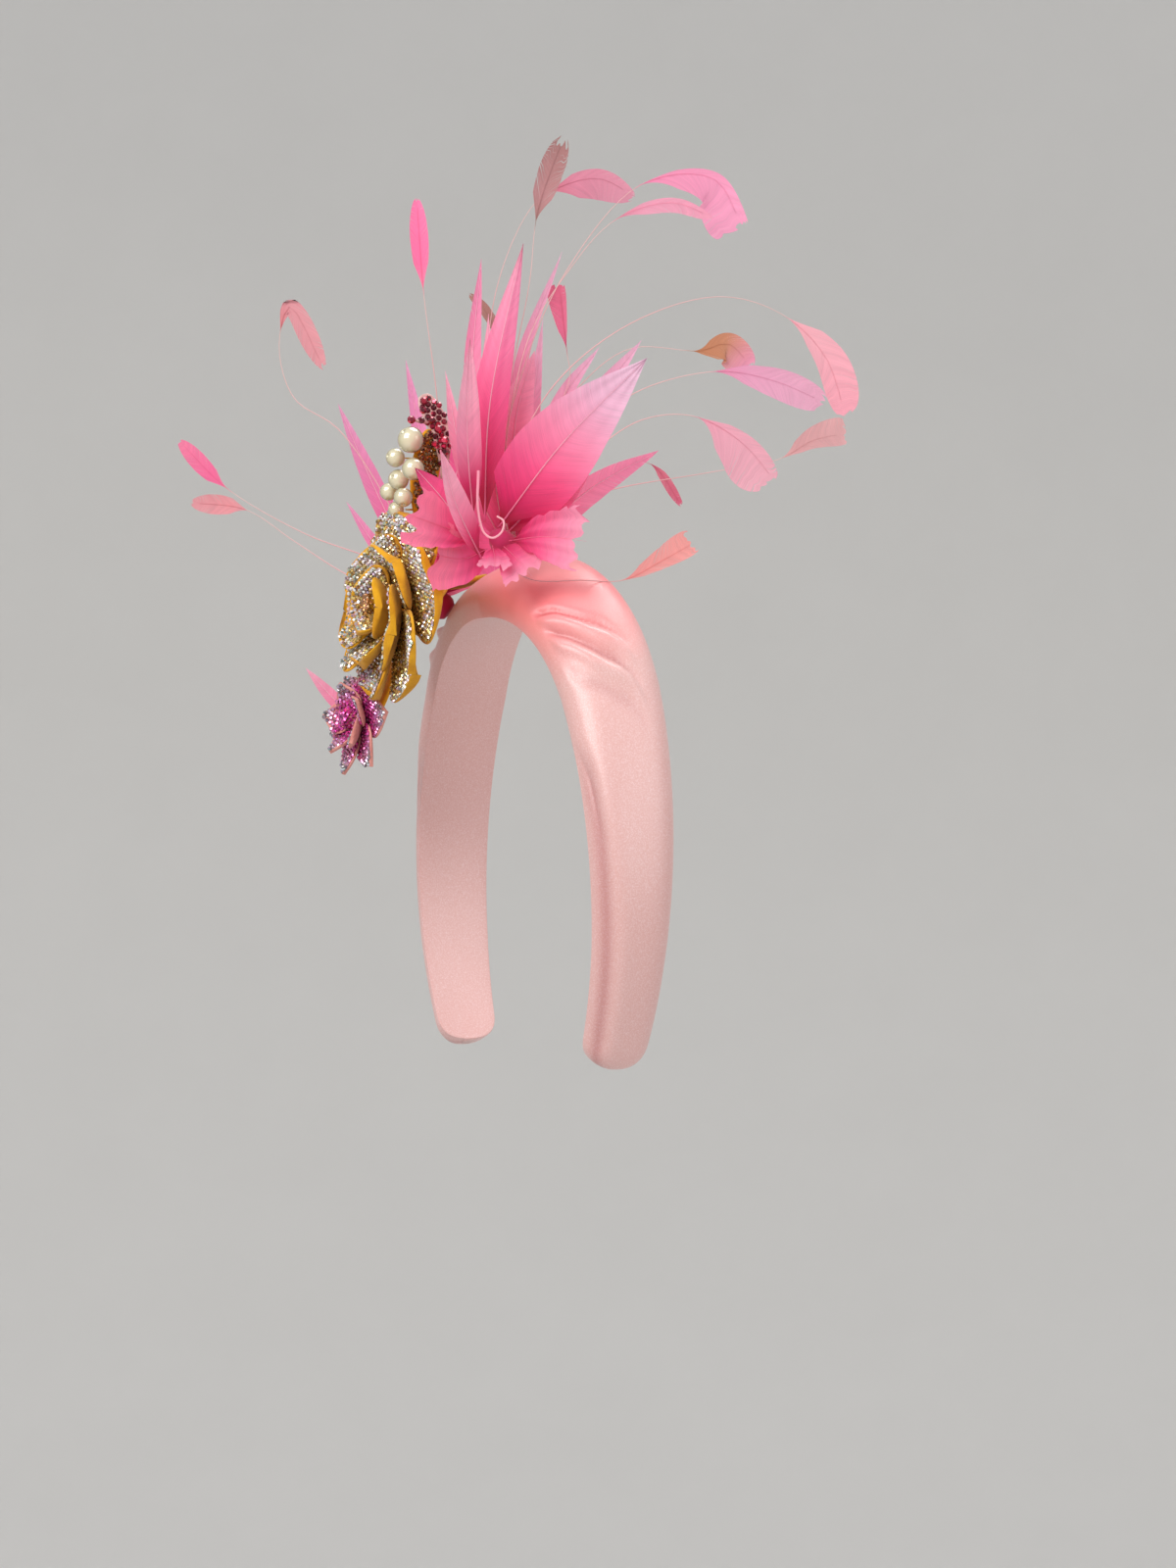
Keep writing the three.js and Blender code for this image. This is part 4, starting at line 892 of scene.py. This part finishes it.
def barb_strips(place, begin, clumps, parting, slant, jag, notch, seed, rows=4, steps=10):
    """Barbs on both sides of a quill, in clumps that may part: points, faces, uv, share.

    A barb starts at its share of the quill and leans to the tip by the slant times what is left.
    By chance a clump is drawn in to its own middle by the square of the way out. The edge stops
    short of the outline by a jagged line of chance heights, and the end is notched in like manner."""
    rng = np.random.default_rng(seed)
    points, uv, shares = [], [], []
    knots = max(6, clumps // 2)
    edge_knots = np.linspace(begin, 1, knots)
    end_knots = np.linspace(-1, 1, END_KNOTS)
    end_depth = notch * rng.uniform(0, 1, END_KNOTS)
    for side in (-1, 1):
        edges = np.concatenate([[0], np.cumsum(rng.uniform(0.6, 1.4, clumps))])
        edges = begin + (1 - begin) * edges / edges[-1]
        low, high = edges[:-1, None, None], edges[1:, None, None]
        start = low + (high - low) * np.linspace(0, 1, rows)[None, :, None]
        middle = (low + high) / 2 + (high - low) * rng.uniform(-0.3, 0.3, (clumps, 1, 1))
        drawn = parting * rng.uniform(0, 1, (clumps, 1, 1)) ** 3
        out = np.linspace(0, 1, steps)[None, None, :]
        share = start + drawn * (middle - start) * out ** 2
        share = share + slant * out ** 1.2 * (1 - share)
        short = np.interp(start, edge_knots, jag * rng.uniform(0, 1, knots) ** 1.5)
        reach = side * out * (1 - short * (1 - share ** 6))
        past = np.clip((share - begin) / (1 - begin), 0, 1)
        share = share - (1 - begin) * np.interp(reach, end_knots, end_depth) * past ** 4
        share, reach, start = np.broadcast_arrays(np.minimum(share, 1), reach, start)
        points.append(place(share, reach))
        uv.append(np.stack([start * place.length, reach * place.half_width(share)], axis=-1) / MM)
        shares.append(share)
    faces = grid_faces(rows, steps)
    offset = np.arange(2 * clumps)[:, None, None] * rows * steps
    return (np.concatenate(points).reshape(-1, 3), [(faces[None] + offset).reshape(-1, 4)],
            np.concatenate(uv).reshape(-1, 2), np.concatenate(shares).ravel())


def quill_tube(place, finish, root_radius, tip_radius, lift=0.0, sides=7, rows=40):
    """A thin round rod that follows a blade's spine and tapers to its end."""
    share = np.linspace(0, finish, rows)
    centre = place(share, np.zeros(rows), lift * MM)
    along = unit(np.gradient(centre, axis=0))
    first = unit(np.cross(along, NEAR + 0.2 * UP))
    second = np.cross(along, first)
    turn = np.linspace(0, 2 * math.pi, sides, endpoint=False)
    radius = (root_radius + (tip_radius - root_radius) * np.linspace(0, 1, rows) ** 0.8)[:, None, None] * MM
    ring = first[:, None] * np.cos(turn)[None, :, None] + second[:, None] * np.sin(turn)[None, :, None]
    points = centre[:, None] + ring * radius
    uv = np.zeros((rows * sides, 2))
    return points.reshape(-1, 3), closed_tube_faces(rows, sides), uv, np.repeat(share, sides)


def feather(place, dyes, quill, clumps, parting, slant, jag, notch, seed, quill_size, begin=0.0,
            painted_shade_side=(1, 1, 1)):
    """A whole feather: its barbs and quill, with the colour at every point.

    The dyes run from root to tip, and one side of the quill can be painted darker as shade. The quill has
    dyes of its own, but where it is bare at first it takes the barbs' dyes past its bare part."""
    barbs = barb_strips(place, begin, clumps, parting, slant, jag, notch, seed)
    stem = quill_tube(place, QUILL_FINISH, *quill_size, lift=QUILL_LIFT)
    dye_stops = np.linspace(0, 1, len(dyes)) ** DYE_CROWDING
    barb_colours = palette(np.clip((barbs[3] - begin) / (1 - begin), 0, 1), dye_stops, dyes)
    # Painted shade: one half of the feather is darkened by these factors
    barb_colours = barb_colours * np.where(barbs[2][:, 1:] > 0, painted_shade_side, (1, 1, 1))
    stem_colours = palette(stem[3], np.linspace(0, 1, len(quill)), quill)
    in_barbs = palette(np.clip((stem[3] - begin) / (1 - begin), 0, 1), dye_stops, dyes)
    stem_colours = np.where((stem[3] > begin)[:, None] & (begin > 0), in_barbs, stem_colours)
    points, faces = joined([barbs[:2], stem[:2]])
    return points, faces, np.vstack([barbs[2], stem[2]]), np.vstack([barb_colours, stem_colours])


def gathered(feathers):
    """Several feathers as one mesh."""
    points, faces = joined([part[:2] for part in feathers])
    return points, faces, np.vstack([part[2] for part in feathers]), np.vstack([part[3] for part in feathers])


def feather_material():
    """Dyed barbs: faint fine lines that run out along each barb, and light that shines through."""
    material, add = paint("dyed_feather")
    lines = add("Mapping", {"Vector": add("UVMap", uv_map="barbs").outputs["UV"], "Scale": (3.6, 0.08, 1.0)})
    strands = add("TexNoise", {
        "Vector": lines.outputs["Vector"], "Scale": 1.0, "Detail": 3, "Roughness": 0.65})
    bands = add("Mapping", {"Vector": add("UVMap", uv_map="barbs").outputs["UV"], "Scale": (0.3, 0.03, 1.0)})
    streaks = add("TexNoise", {"Vector": bands.outputs["Vector"], "Scale": 1.0, "Detail": 2})
    dye = add("Attribute", attribute_name="dye").outputs["Color"]
    depth = add("MapRange", {0: strands.outputs["Fac"], 1: 0.35, 2: 0.65, 3: 0.9, 4: 1.05}, clamp=True)
    base = colour_mix(add, 1.0, dye, depth.outputs[0], "MULTIPLY")
    wide = add("MapRange", {0: streaks.outputs["Fac"], 1: 0.35, 2: 0.65, 3: 0.94, 4: 1.04}, clamp=True)
    base = colour_mix(add, 1.0, base, wide.outputs[0], "MULTIPLY")
    relief = add("Bump", {"Height": strands.outputs["Fac"], "Strength": 0.18, "Distance": 0.0003})
    shader = add("BsdfPrincipled", {
        "Base Color": base, "Roughness": 0.55, "Normal": relief.outputs["Normal"], "Sheen Weight": 0.3,
        "Sheen Roughness": 0.5, "Specular IOR Level": 0.35})
    through = add("BsdfTranslucent", {"Color": base, "Normal": relief.outputs["Normal"]})
    both = add("MixShader", {0: 0.4, 1: shader.outputs["BSDF"], 2: through.outputs["BSDF"]})
    add("OutputMaterial", {"Surface": both.outputs["Shader"]})
    return material


feather_look = feather_material()
QUILL_DYES = [HOT, (0.95, 0.48, 0.62), (0.96, 0.58, 0.70), (0.96, 0.62, 0.74)]
BLUNT_EDGE = dict(jag=0.16, notch=0.24, quill_size=(0.2, 0.04))
POINTED_EDGE = dict(jag=0.02, notch=0.0, quill_size=(0.36, 0.06))
for number, petal in enumerate(NEAR_PETALS):
    blunt = petal["end"] == "blunt"
    phase = np.random.default_rng(number).uniform(0, 2 * math.pi)

    def pleated(share, side, petal=petal, phase=phase):
        """A sine across the petal that grows with the share, and a soft crease along the quill."""
        pleats = petal["pleat"] * share * np.sin(PLEATS_ACROSS * math.pi * side + phase)
        return pleats + petal["fold"] * np.sqrt(side ** 2 + 0.01) * np.sin(math.pi * share)

    cut = blade(seen(petal["spine"]), NEAR, petal["width"], petal["roll"], FEATHER_ROOT, petal["cup"],
                OUTLINES[petal["end"]], pleated)
    edge = BLUNT_EDGE if blunt else POINTED_EDGE
    points, faces, uv, colours = feather(
        cut, [THROAT_DYE_AND_SHADE, THROAT_DYE_AND_SHADE, DEEP, *petal["dyes"]], petal["dyes"] if blunt else QUILL_DYES, clumps=26,
        parting=0.06, slant=0.2, seed=100 + number, painted_shade_side=petal.get("painted_shade_side", (1, 1, 1)), **edge)
    piece = put(f"pink_petal_{petal['name']}", points, faces, [feather_look], uv=uv, colours=colours)
    stands_for(piece, f"feather_petal_{petal['name']}")

# Spray behind the near flower
# Narrow pointed feathers dyed pink, which stand up behind the petals. They are bound to a wound
# foot that is sewn to the band.
ROSY = (0.82, 0.24, 0.42)
NEAR_SPIKES = [
    dict(spine=[[-1, 14, 29], [25, 38, 26], [51, 53, 22]], width=12, roll=30, cup=0.2, end="pointed",
         dyes=[HOT, PINK, PINK]),
    dict(spine=[[-4, 16, 30], [-15, 50, 26], [-18, 82, 22], [-15, 125, 16]], width=8, roll=0, cup=0.2,
         end="pointed", dyes=[HOT, PINK, ROSY]),
    dict(spine=[[-2, 15, 28], [-1, 82, 18], [15, 129, 8]], width=6, roll=20, cup=0.2, end="pointed",
         dyes=[HOT, PINK, LILAC]),
    dict(spine=[[-3, 16, 31], [-2, 63, 27], [5, 90, 22]], width=16, roll=0, cup=0.15, end="pointed",
         dyes=[HOT, PINK, PALE]),
    dict(spine=[[-1, 15, 28], [15, 72, 17], [29, 93, 10]], width=9, roll=10, cup=0.2, end="pointed",
         dyes=[HOT, PINK, LILAC]),
    dict(spine=[[0, 13, 27], [25, 69, 8], [45, 97, 0]], width=12, roll=10, cup=0.2, end="pointed",
         dyes=[HOT, PINK, LILAC]),
    dict(spine=[[-5, 15, 30], [-21, 48, 30], [-28, 82, 26]], width=8, roll=10, cup=0.2, end="spear",
         dyes=[HOT, PINK, PALE]),
    dict(spine=[[-4, 15, 31], [-12, 60, 31], [-12, 103, 27]], width=9, roll=-15, cup=0.2, end="spear",
         dyes=[HOT, PINK, PALE]),
    dict(spine=[[-2, 15, 29], [3, 60, 22], [8, 103, 14]], width=8, roll=15, cup=0.2, end="spear",
         dyes=[HOT, PINK, LILAC]),
]
NEAR_FOOT = dict(ends=[[1, 11, 25], [-9, 20, 42]], radii=(5, 4.6))
FOOT_DYE = (0.70, 0.03, 0.16)


def bound_foot(foot):
    """The wound foot that feathers are bound to, as a feather part."""
    ends = seen(foot["ends"])
    points, faces = rolled_rod(ends[0], ends[1], *foot["radii"])
    points = points.reshape(-1, 3)
    return points, faces, np.zeros((len(points), 2)), np.tile(np.array(FOOT_DYE), (len(points), 1))


def spike_feather(spike, seed):
    """One narrow feather of a spray."""
    cut = blade(seen(spike["spine"]), NEAR, spike["width"], spike["roll"], FEATHER_ROOT, spike["cup"],
                OUTLINES[spike["end"]])
    return feather(cut, [THROAT_DYE_AND_SHADE, *spike["dyes"]], QUILL_DYES, clumps=26, parting=0.15, slant=0.15, jag=0.05,
                   notch=0.15 if spike["end"] == "blunt" else 0.0, seed=seed, quill_size=(0.4, 0.06))


spikes = [spike_feather(spike, 200 + number) for number, spike in enumerate(NEAR_SPIKES)]
points, faces, uv, colours = gathered([bound_foot(NEAR_FOOT), *spikes])
piece = put("pink_spray", points, faces, [feather_look], uv=uv, colours=colours)
stands_for(piece, "feather_spray_near")

# Feather flower on the wearer's right
# The same kind of flower on the far side, of narrower dyed feathers bound to a foot of its own.
# The rose and the near flower hide most of it, and its hidden petals are plain deep pink.
FAR_DYES = [HOT, (0.88, 0.22, 0.46), (0.80, 0.32, 0.54)]
FAR_HOT = [DEEP, HOT, (0.86, 0.12, 0.32)]
FAR_PETALS = [
    dict(spine=[[-37, 1, -30], [-59, 46, -36], [-73, 78, -42]], width=9, roll=20, cup=0.2, end="pointed"),
    dict(spine=[[-36, 2, -30], [-39, 55, -32], [-46, 94, -34]], width=8, roll=0, cup=0.2, end="pointed"),
    dict(spine=[[-37, 1, -30], [-57, 21, -40], [-70, 40, -46]], width=6, roll=20, cup=0.2, end="pointed"),
    dict(spine=[[-36, 0, -30], [-56, 2, -38], [-68, 4, -44]], width=11, roll=30, cup=0.2, end="blunt"),
    dict(spine=[[-35, 2, -30], [-28, 44, -42], [-22, 76, -52]], width=18, roll=0, cup=0.2, end="pointed",
         dyes=FAR_HOT),
    dict(spine=[[-34, 1, -31], [-19, 29, -48], [-6, 54, -62]], width=20, roll=10, cup=0.2, end="pointed",
         dyes=FAR_HOT),
    dict(spine=[[-34, 0, -31], [-22, 13, -54], [-7, 22, -72]], width=18, roll=0, cup=0.2, end="blunt",
         dyes=FAR_HOT),
    dict(spine=[[-36, 0, -31], [-44, 8, -54], [-46, 18, -72]], width=18, roll=0, cup=0.2, end="blunt",
         dyes=FAR_HOT),
]
FAR_FOOT = dict(ends=[[-29, -4, -29], [-41, 5, -31]], radii=(6, 3))

far = [spike_feather({"dyes": FAR_DYES, **petal}, 300 + number) for number, petal in enumerate(FAR_PETALS)]
points, faces, uv, colours = gathered([bound_foot(FAR_FOOT), *far])
piece = put("pink_far_flower", points, faces, [feather_look], uv=uv, colours=colours)
stands_for(piece, "feather_flower_far")

# Loose feather behind the pink flower
# One narrow pointed feather dyed pink. Its root is fixed behind the small flower, and its tip
# shows past it.
LOOSE = dict(spine=[[-61, -49, -16], [-73, -38, -21], [-84, -26, -24]], width=6, roll=20, cup=0.1,
             end="pointed", dyes=[PINK, PINK, PALE])
points, faces, uv, colours = spike_feather(LOOSE, 350)
piece = put("pink_loose_tip", points, faces, [feather_look], uv=uv, colours=colours)
stands_for(piece, "pink_loose_feather")

# Curled quill
# A quill stripped of its barbs and dyed pale pink, drawn over a blade so that it curls. It is
# fixed in the near flower's throat.
CURLED_QUILL = [
    [-15, 43, 47], [-15, 29, 51], [-12.7, 20, 54], [-9.5, 18, 56], [-6.4, 20, 56], [-5.6, 24, 55],
    [-8, 26, 53],
]
curl = blade(seen(CURLED_QUILL), NEAR, 1.2, root=1.2)
points, faces, uv, share = quill_tube(curl, 1.0, 0.55, 0.35, sides=12, rows=90)
colours = palette(share, [0, 1], [(0.95, 0.42, 0.55), (1.0, 0.60, 0.66)])
piece = put("pale_curled_quill", points, faces, [feather_look], uv=uv, colours=colours)
stands_for(piece, "curled_quill")

# Stripped feathers
# Long quills stripped bare but for the barbs at their ends, which arch out of both flowers. Each
# end is dyed its own pink, and some keep the feather's own brown.
BARE_PINK, BARE_PALE = (0.95, 0.27, 0.48), (0.94, 0.43, 0.50)
DUSTY, BROWN = (0.76, 0.31, 0.35), (0.40, 0.18, 0.15)
STRIPPED = [
    dict(spine=[[-5, 19, 31], [-9, 40, 31], [-4, 78, 28], [3, 115, 22], [6, 142, 18], [16, 172, 14]],
         width=10, roll=20, bare=0.77, skew=0, end="leaf", split=0.6, jag=0.16,
         dyes=[(0.42, 0.22, 0.20), (0.56, 0.26, 0.27), (0.40, 0.19, 0.18)]),
    dict(spine=[[-5, 18, 27], [-13, 50, 18], [-10, 114, 5], [4, 149, -5], [13, 156, -8], [29, 160, -10],
                [43, 153, -10]],
         width=12, roll=0, bare=0.8, skew=0.4, end="leaf", split=0.15, jag=0.06,
         dyes=[(0.62, 0.16, 0.22), (0.76, 0.26, 0.37), (0.72, 0.30, 0.40)]),
    dict(spine=[[-4, 20, 32], [-8, 40, 34], [0, 79, 30], [16, 118, 24], [45, 153, 16], [72, 156, 10],
                [83, 139, 4]],
         width=16, roll=0, bare=0.74, skew=0.6, end="wedge", split=0.12, jag=0.04,
         dyes=[BARE_PINK, (0.94, 0.33, 0.52), (0.94, 0.37, 0.56)]),
    dict(spine=[[-3, 21, 33], [-6, 45, 36], [3, 93, 34], [18, 119, 30], [35, 138, 26], [56, 145, 22],
                [72, 140, 18]],
         width=6, roll=30, bare=0.76, skew=0.3, end="leaf", split=0.5, jag=0.1,
         dyes=[(0.86, 0.30, 0.42), (0.96, 0.40, 0.55), (0.96, 0.42, 0.57)]),
    dict(spine=[[-2, 20, 32], [-4, 40, 35], [10, 73, 32], [39, 99, 24], [74, 111, 16], [98, 105, 10],
                [114, 90, 6], [122, 68, 3]],
         width=13, roll=0, bare=0.78, skew=-0.2, end="barbs", split=0.12, jag=0.04,
         dyes=[BARE_PALE, (0.92, 0.44, 0.51), (0.92, 0.38, 0.47)]),
    dict(spine=[[-3, 17, 25], [-2, 42, 10], [21, 80, -8], [41, 96, -16], [68, 96, -22], [79, 99, -24],
                [88, 90, -26]],
         width=13, roll=0, bare=0.82, skew=0.3, end="barbs", split=0.2, jag=0.06,
         dyes=[(0.56, 0.22, 0.10), (0.58, 0.24, 0.12), (0.60, 0.26, 0.15), (0.88, 0.34, 0.52)]),
    dict(spine=[[-2, 18, 27], [0, 38, 24], [25, 61, 18], [43, 76, 12], [74, 85, 2], [95, 82, -2],
                [115, 74, -5]],
         width=12, roll=10, bare=0.7, skew=0.1, end="barbs", split=0.15, jag=0.06,
         dyes=[(0.86, 0.28, 0.46), (0.84, 0.37, 0.55), (0.84, 0.45, 0.60)]),
    dict(spine=[[-1, 18, 30], [5, 32, 33], [28, 53, 30], [45, 64, 26], [64, 66, 20], [82, 57, 14],
                [95, 43, 8]],
         width=17, roll=0, bare=0.69, skew=0.5, end="barbs", split=0.5, jag=0.05,
         dyes=[(0.90, 0.36, 0.48), (0.92, 0.42, 0.53), (0.92, 0.46, 0.55)]),
    dict(spine=[[-1, 16, 25], [6, 30, 14], [33, 40, 4], [71, 48, -10], [98, 54, -20], [112, 62, -25],
                [125, 65, -28]],
         width=11, roll=0, bare=0.8, skew=-0.2, end="wedge", split=0.15, jag=0.06,
         dyes=[(0.84, 0.46, 0.45), (0.78, 0.40, 0.41), (0.84, 0.46, 0.47)]),
    dict(spine=[[-1, 15, 24], [6, 30, 14], [29, 47, 4], [48, 51, -5], [61, 35, -12]],
         width=4, roll=20, bare=0.76, skew=0, end="leaf", split=0.3, jag=0.1,
         dyes=[(0.60, 0.14, 0.22), (0.72, 0.18, 0.26), (0.72, 0.14, 0.24)]),
    dict(spine=[[-4, 9, 31], [5, 4, 36], [22, 4, 36], [38, 5, 22], [53, 13, 14], [65, 20, 10]],
         width=10, roll=0, bare=0.58, skew=-0.2, end="wedge", split=0.5, jag=0.08,
         dyes=[(0.96, 0.38, 0.36), (1.0, 0.40, 0.38), (1.0, 0.40, 0.38)]),
    dict(spine=[[-33, 24, 3], [-30, 50, 8], [-32, 76, 10], [-37, 114, 6], [-40, 151, 0]],
         width=7, roll=0, bare=0.71, skew=0, end="leaf", split=0.2, jag=0.05,
         dyes=[(1.0, 0.26, 0.42), (1.0, 0.17, 0.38), (1.0, 0.20, 0.42)]),
    dict(spine=[[-3, 18, 27], [5, 49, 20], [18, 81, 16], [17, 90, 14], [14, 117, 8]],
         width=7, roll=0, bare=0.74, skew=-0.4, end="wedge", split=0.2, jag=0.05,
         dyes=[(0.70, 0.12, 0.24), (0.80, 0.15, 0.28), (0.70, 0.12, 0.22)]),
    dict(spine=[[-40, 4, -31], [-49, 31, -29], [-72, 67, -35], [-90, 80, -40], [-96, 100, -42],
                [-92, 116, -42], [-78, 91, -40]],
         width=8, roll=0, bare=0.75, skew=0, end="leaf", split=0.4, jag=0.08,
         dyes=[(0.72, 0.20, 0.22), DUSTY, DUSTY]),
    dict(spine=[[-40, 3, -32], [-55, 15, -38], [-87, 28, -50], [-119, 47, -60], [-138, 66, -62]],
         width=7, roll=0, bare=0.77, skew=0, end="leaf", split=0.2, jag=0.05,
         dyes=[(0.92, 0.18, 0.36), (0.92, 0.15, 0.34), (0.92, 0.22, 0.38)]),
    dict(spine=[[-40, 1, -31], [-52, 3, -34], [-71, 12, -42], [-91, 25, -52], [-111, 38, -58],
                [-133, 41, -60]],
         width=8, roll=0, bare=0.78, skew=0, end="leaf", split=0.4, jag=0.08,
         dyes=[DUSTY, (0.86, 0.32, 0.36), DUSTY]),
    dict(spine=[[-5, 18, 26], [-14, 51, 10], [-9, 97, -8], [-14, 109, -10], [-21, 117, -12]],
         width=5, roll=30, bare=0.77, skew=0, end="leaf", split=0.3, jag=0.1, dyes=[BROWN, BROWN, BROWN]),
]
STEM_DYES = [(0.86, 0.48, 0.52), (0.90, 0.64, 0.60)]

for number, plume in enumerate(STRIPPED, start=1):

    def end_outline(share, plume=plume):
        """No width along the bare quill, and the outline of the barbs past it."""
        past = np.clip((share - plume["bare"]) / (1 - plume["bare"]), 0, 1)
        return OUTLINES[plume["end"]](past)

    cut = blade(seen(plume["spine"]), NEAR, plume["width"], plume["roll"], 0.5, 0.12, end_outline,
                skew=plume["skew"])
    points, faces, uv, colours = feather(
        cut, plume["dyes"], STEM_DYES, clumps=16, parting=plume["split"], slant=0.3, jag=plume["jag"],
        notch=plume["jag"], begin=plume["bare"], seed=400 + number, quill_size=(0.34, 0.05))
    piece = put(f"stripped_plume_{number}", points, faces, [feather_look], uv=uv, colours=colours)
    stands_for(piece, f"stripped_feather_{number}")

# Studio
# A pale grey studio with a round level floor that curves up into a wall all round, and broad soft
# lamps inside it that the camera doesn't see.
STUDIO_RADIUS = 2.4
STUDIO_FLOOR = -0.85
STUDIO_BEND = 0.9
STUDIO_TOP = 1.5
STUDIO_HUB = 0.02
STUDIO_RINGS, STUDIO_SIDES = 60, 96
PAPER_DARK, PAPER_LIGHT = (0.70, 0.69, 0.67), (0.73, 0.72, 0.70)


def studio_surface(turn, along):
    """A round floor that bends up through a quarter circle into an upright wall."""
    flat = STUDIO_RADIUS - STUDIO_BEND
    bend = np.clip((along - flat) / STUDIO_BEND, 0, math.pi / 2)
    wall = np.maximum(along - flat - STUDIO_BEND * math.pi / 2, 0)
    out = np.minimum(along, flat) + STUDIO_BEND * np.sin(bend)
    height = STUDIO_FLOOR + STUDIO_BEND * (1 - np.cos(bend)) + wall
    return np.stack([out * np.cos(turn), out * np.sin(turn), height], axis=-1)


def studio_paper():
    """Matt grey paper with the faintest mottle."""
    material, add = paint("grey_paper")
    place = add("TexCoord").outputs["Object"]
    mottle = add("TexNoise", {"Vector": place, "Scale": 9, "Detail": 4})
    base = colour_mix(add, mottle.outputs["Fac"], PAPER_DARK, PAPER_LIGHT)
    shader = add("BsdfPrincipled", {"Base Color": base, "Roughness": 0.9, "Specular IOR Level": 0.2})
    add("OutputMaterial", {"Surface": shader.outputs["BSDF"]})
    return material


floor_length = STUDIO_RADIUS - STUDIO_BEND
wall_length = STUDIO_TOP - STUDIO_FLOOR - STUDIO_BEND
studio_along = np.linspace(floor_length + STUDIO_BEND * math.pi / 2 + wall_length, STUDIO_HUB, STUDIO_RINGS)
studio_turn = np.linspace(0, 2 * math.pi, STUDIO_SIDES, endpoint=False)
studio_grid = studio_surface(*np.meshgrid(studio_turn, studio_along))
around, ends = closed_tube_faces(*studio_grid.shape[:2])
studio = put("grey_studio", studio_grid, [around, ends[1:]], [studio_paper()])


HEADPIECE_MIDDLE = np.array([0, 0, 0.02])


def soft_light(name, across, up, near, size, power, colour=(1, 1, 1)):
    """A square lamp that faces the headpiece."""
    data = bpy.data.lights.new(name, "AREA")
    data.size = size
    data.energy = power
    data.color = colour
    lamp = bpy.data.objects.new(name, data)
    place = across * ACROSS + up * UP + near * NEAR
    lamp.location = place
    way = unit(place - HEADPIECE_MIDDLE)
    lamp.rotation_euler = (math.acos(way[2]), 0, math.atan2(way[1], way[0]) + math.pi / 2)
    lamp.visible_camera = False
    bpy.context.scene.collection.objects.link(lamp)


soft_light("key_light", -0.7, 0.75, 0.95, 0.9, 18, (1.0, 0.985, 0.97))
soft_light("fill_light", 1.1, 0.25, 0.8, 1.0, 6)
soft_light("top_light", 0.25, 1.1, -0.35, 0.7, 9, (1.0, 0.98, 0.95))
world = bpy.data.worlds.new("room_light")
world.use_nodes = True
world.node_tree.nodes["Background"].inputs["Color"].default_value = (0.93, 0.95, 1.0, 1.0)
world.node_tree.nodes["Background"].inputs["Strength"].default_value = 0.6
bpy.context.scene.world = world
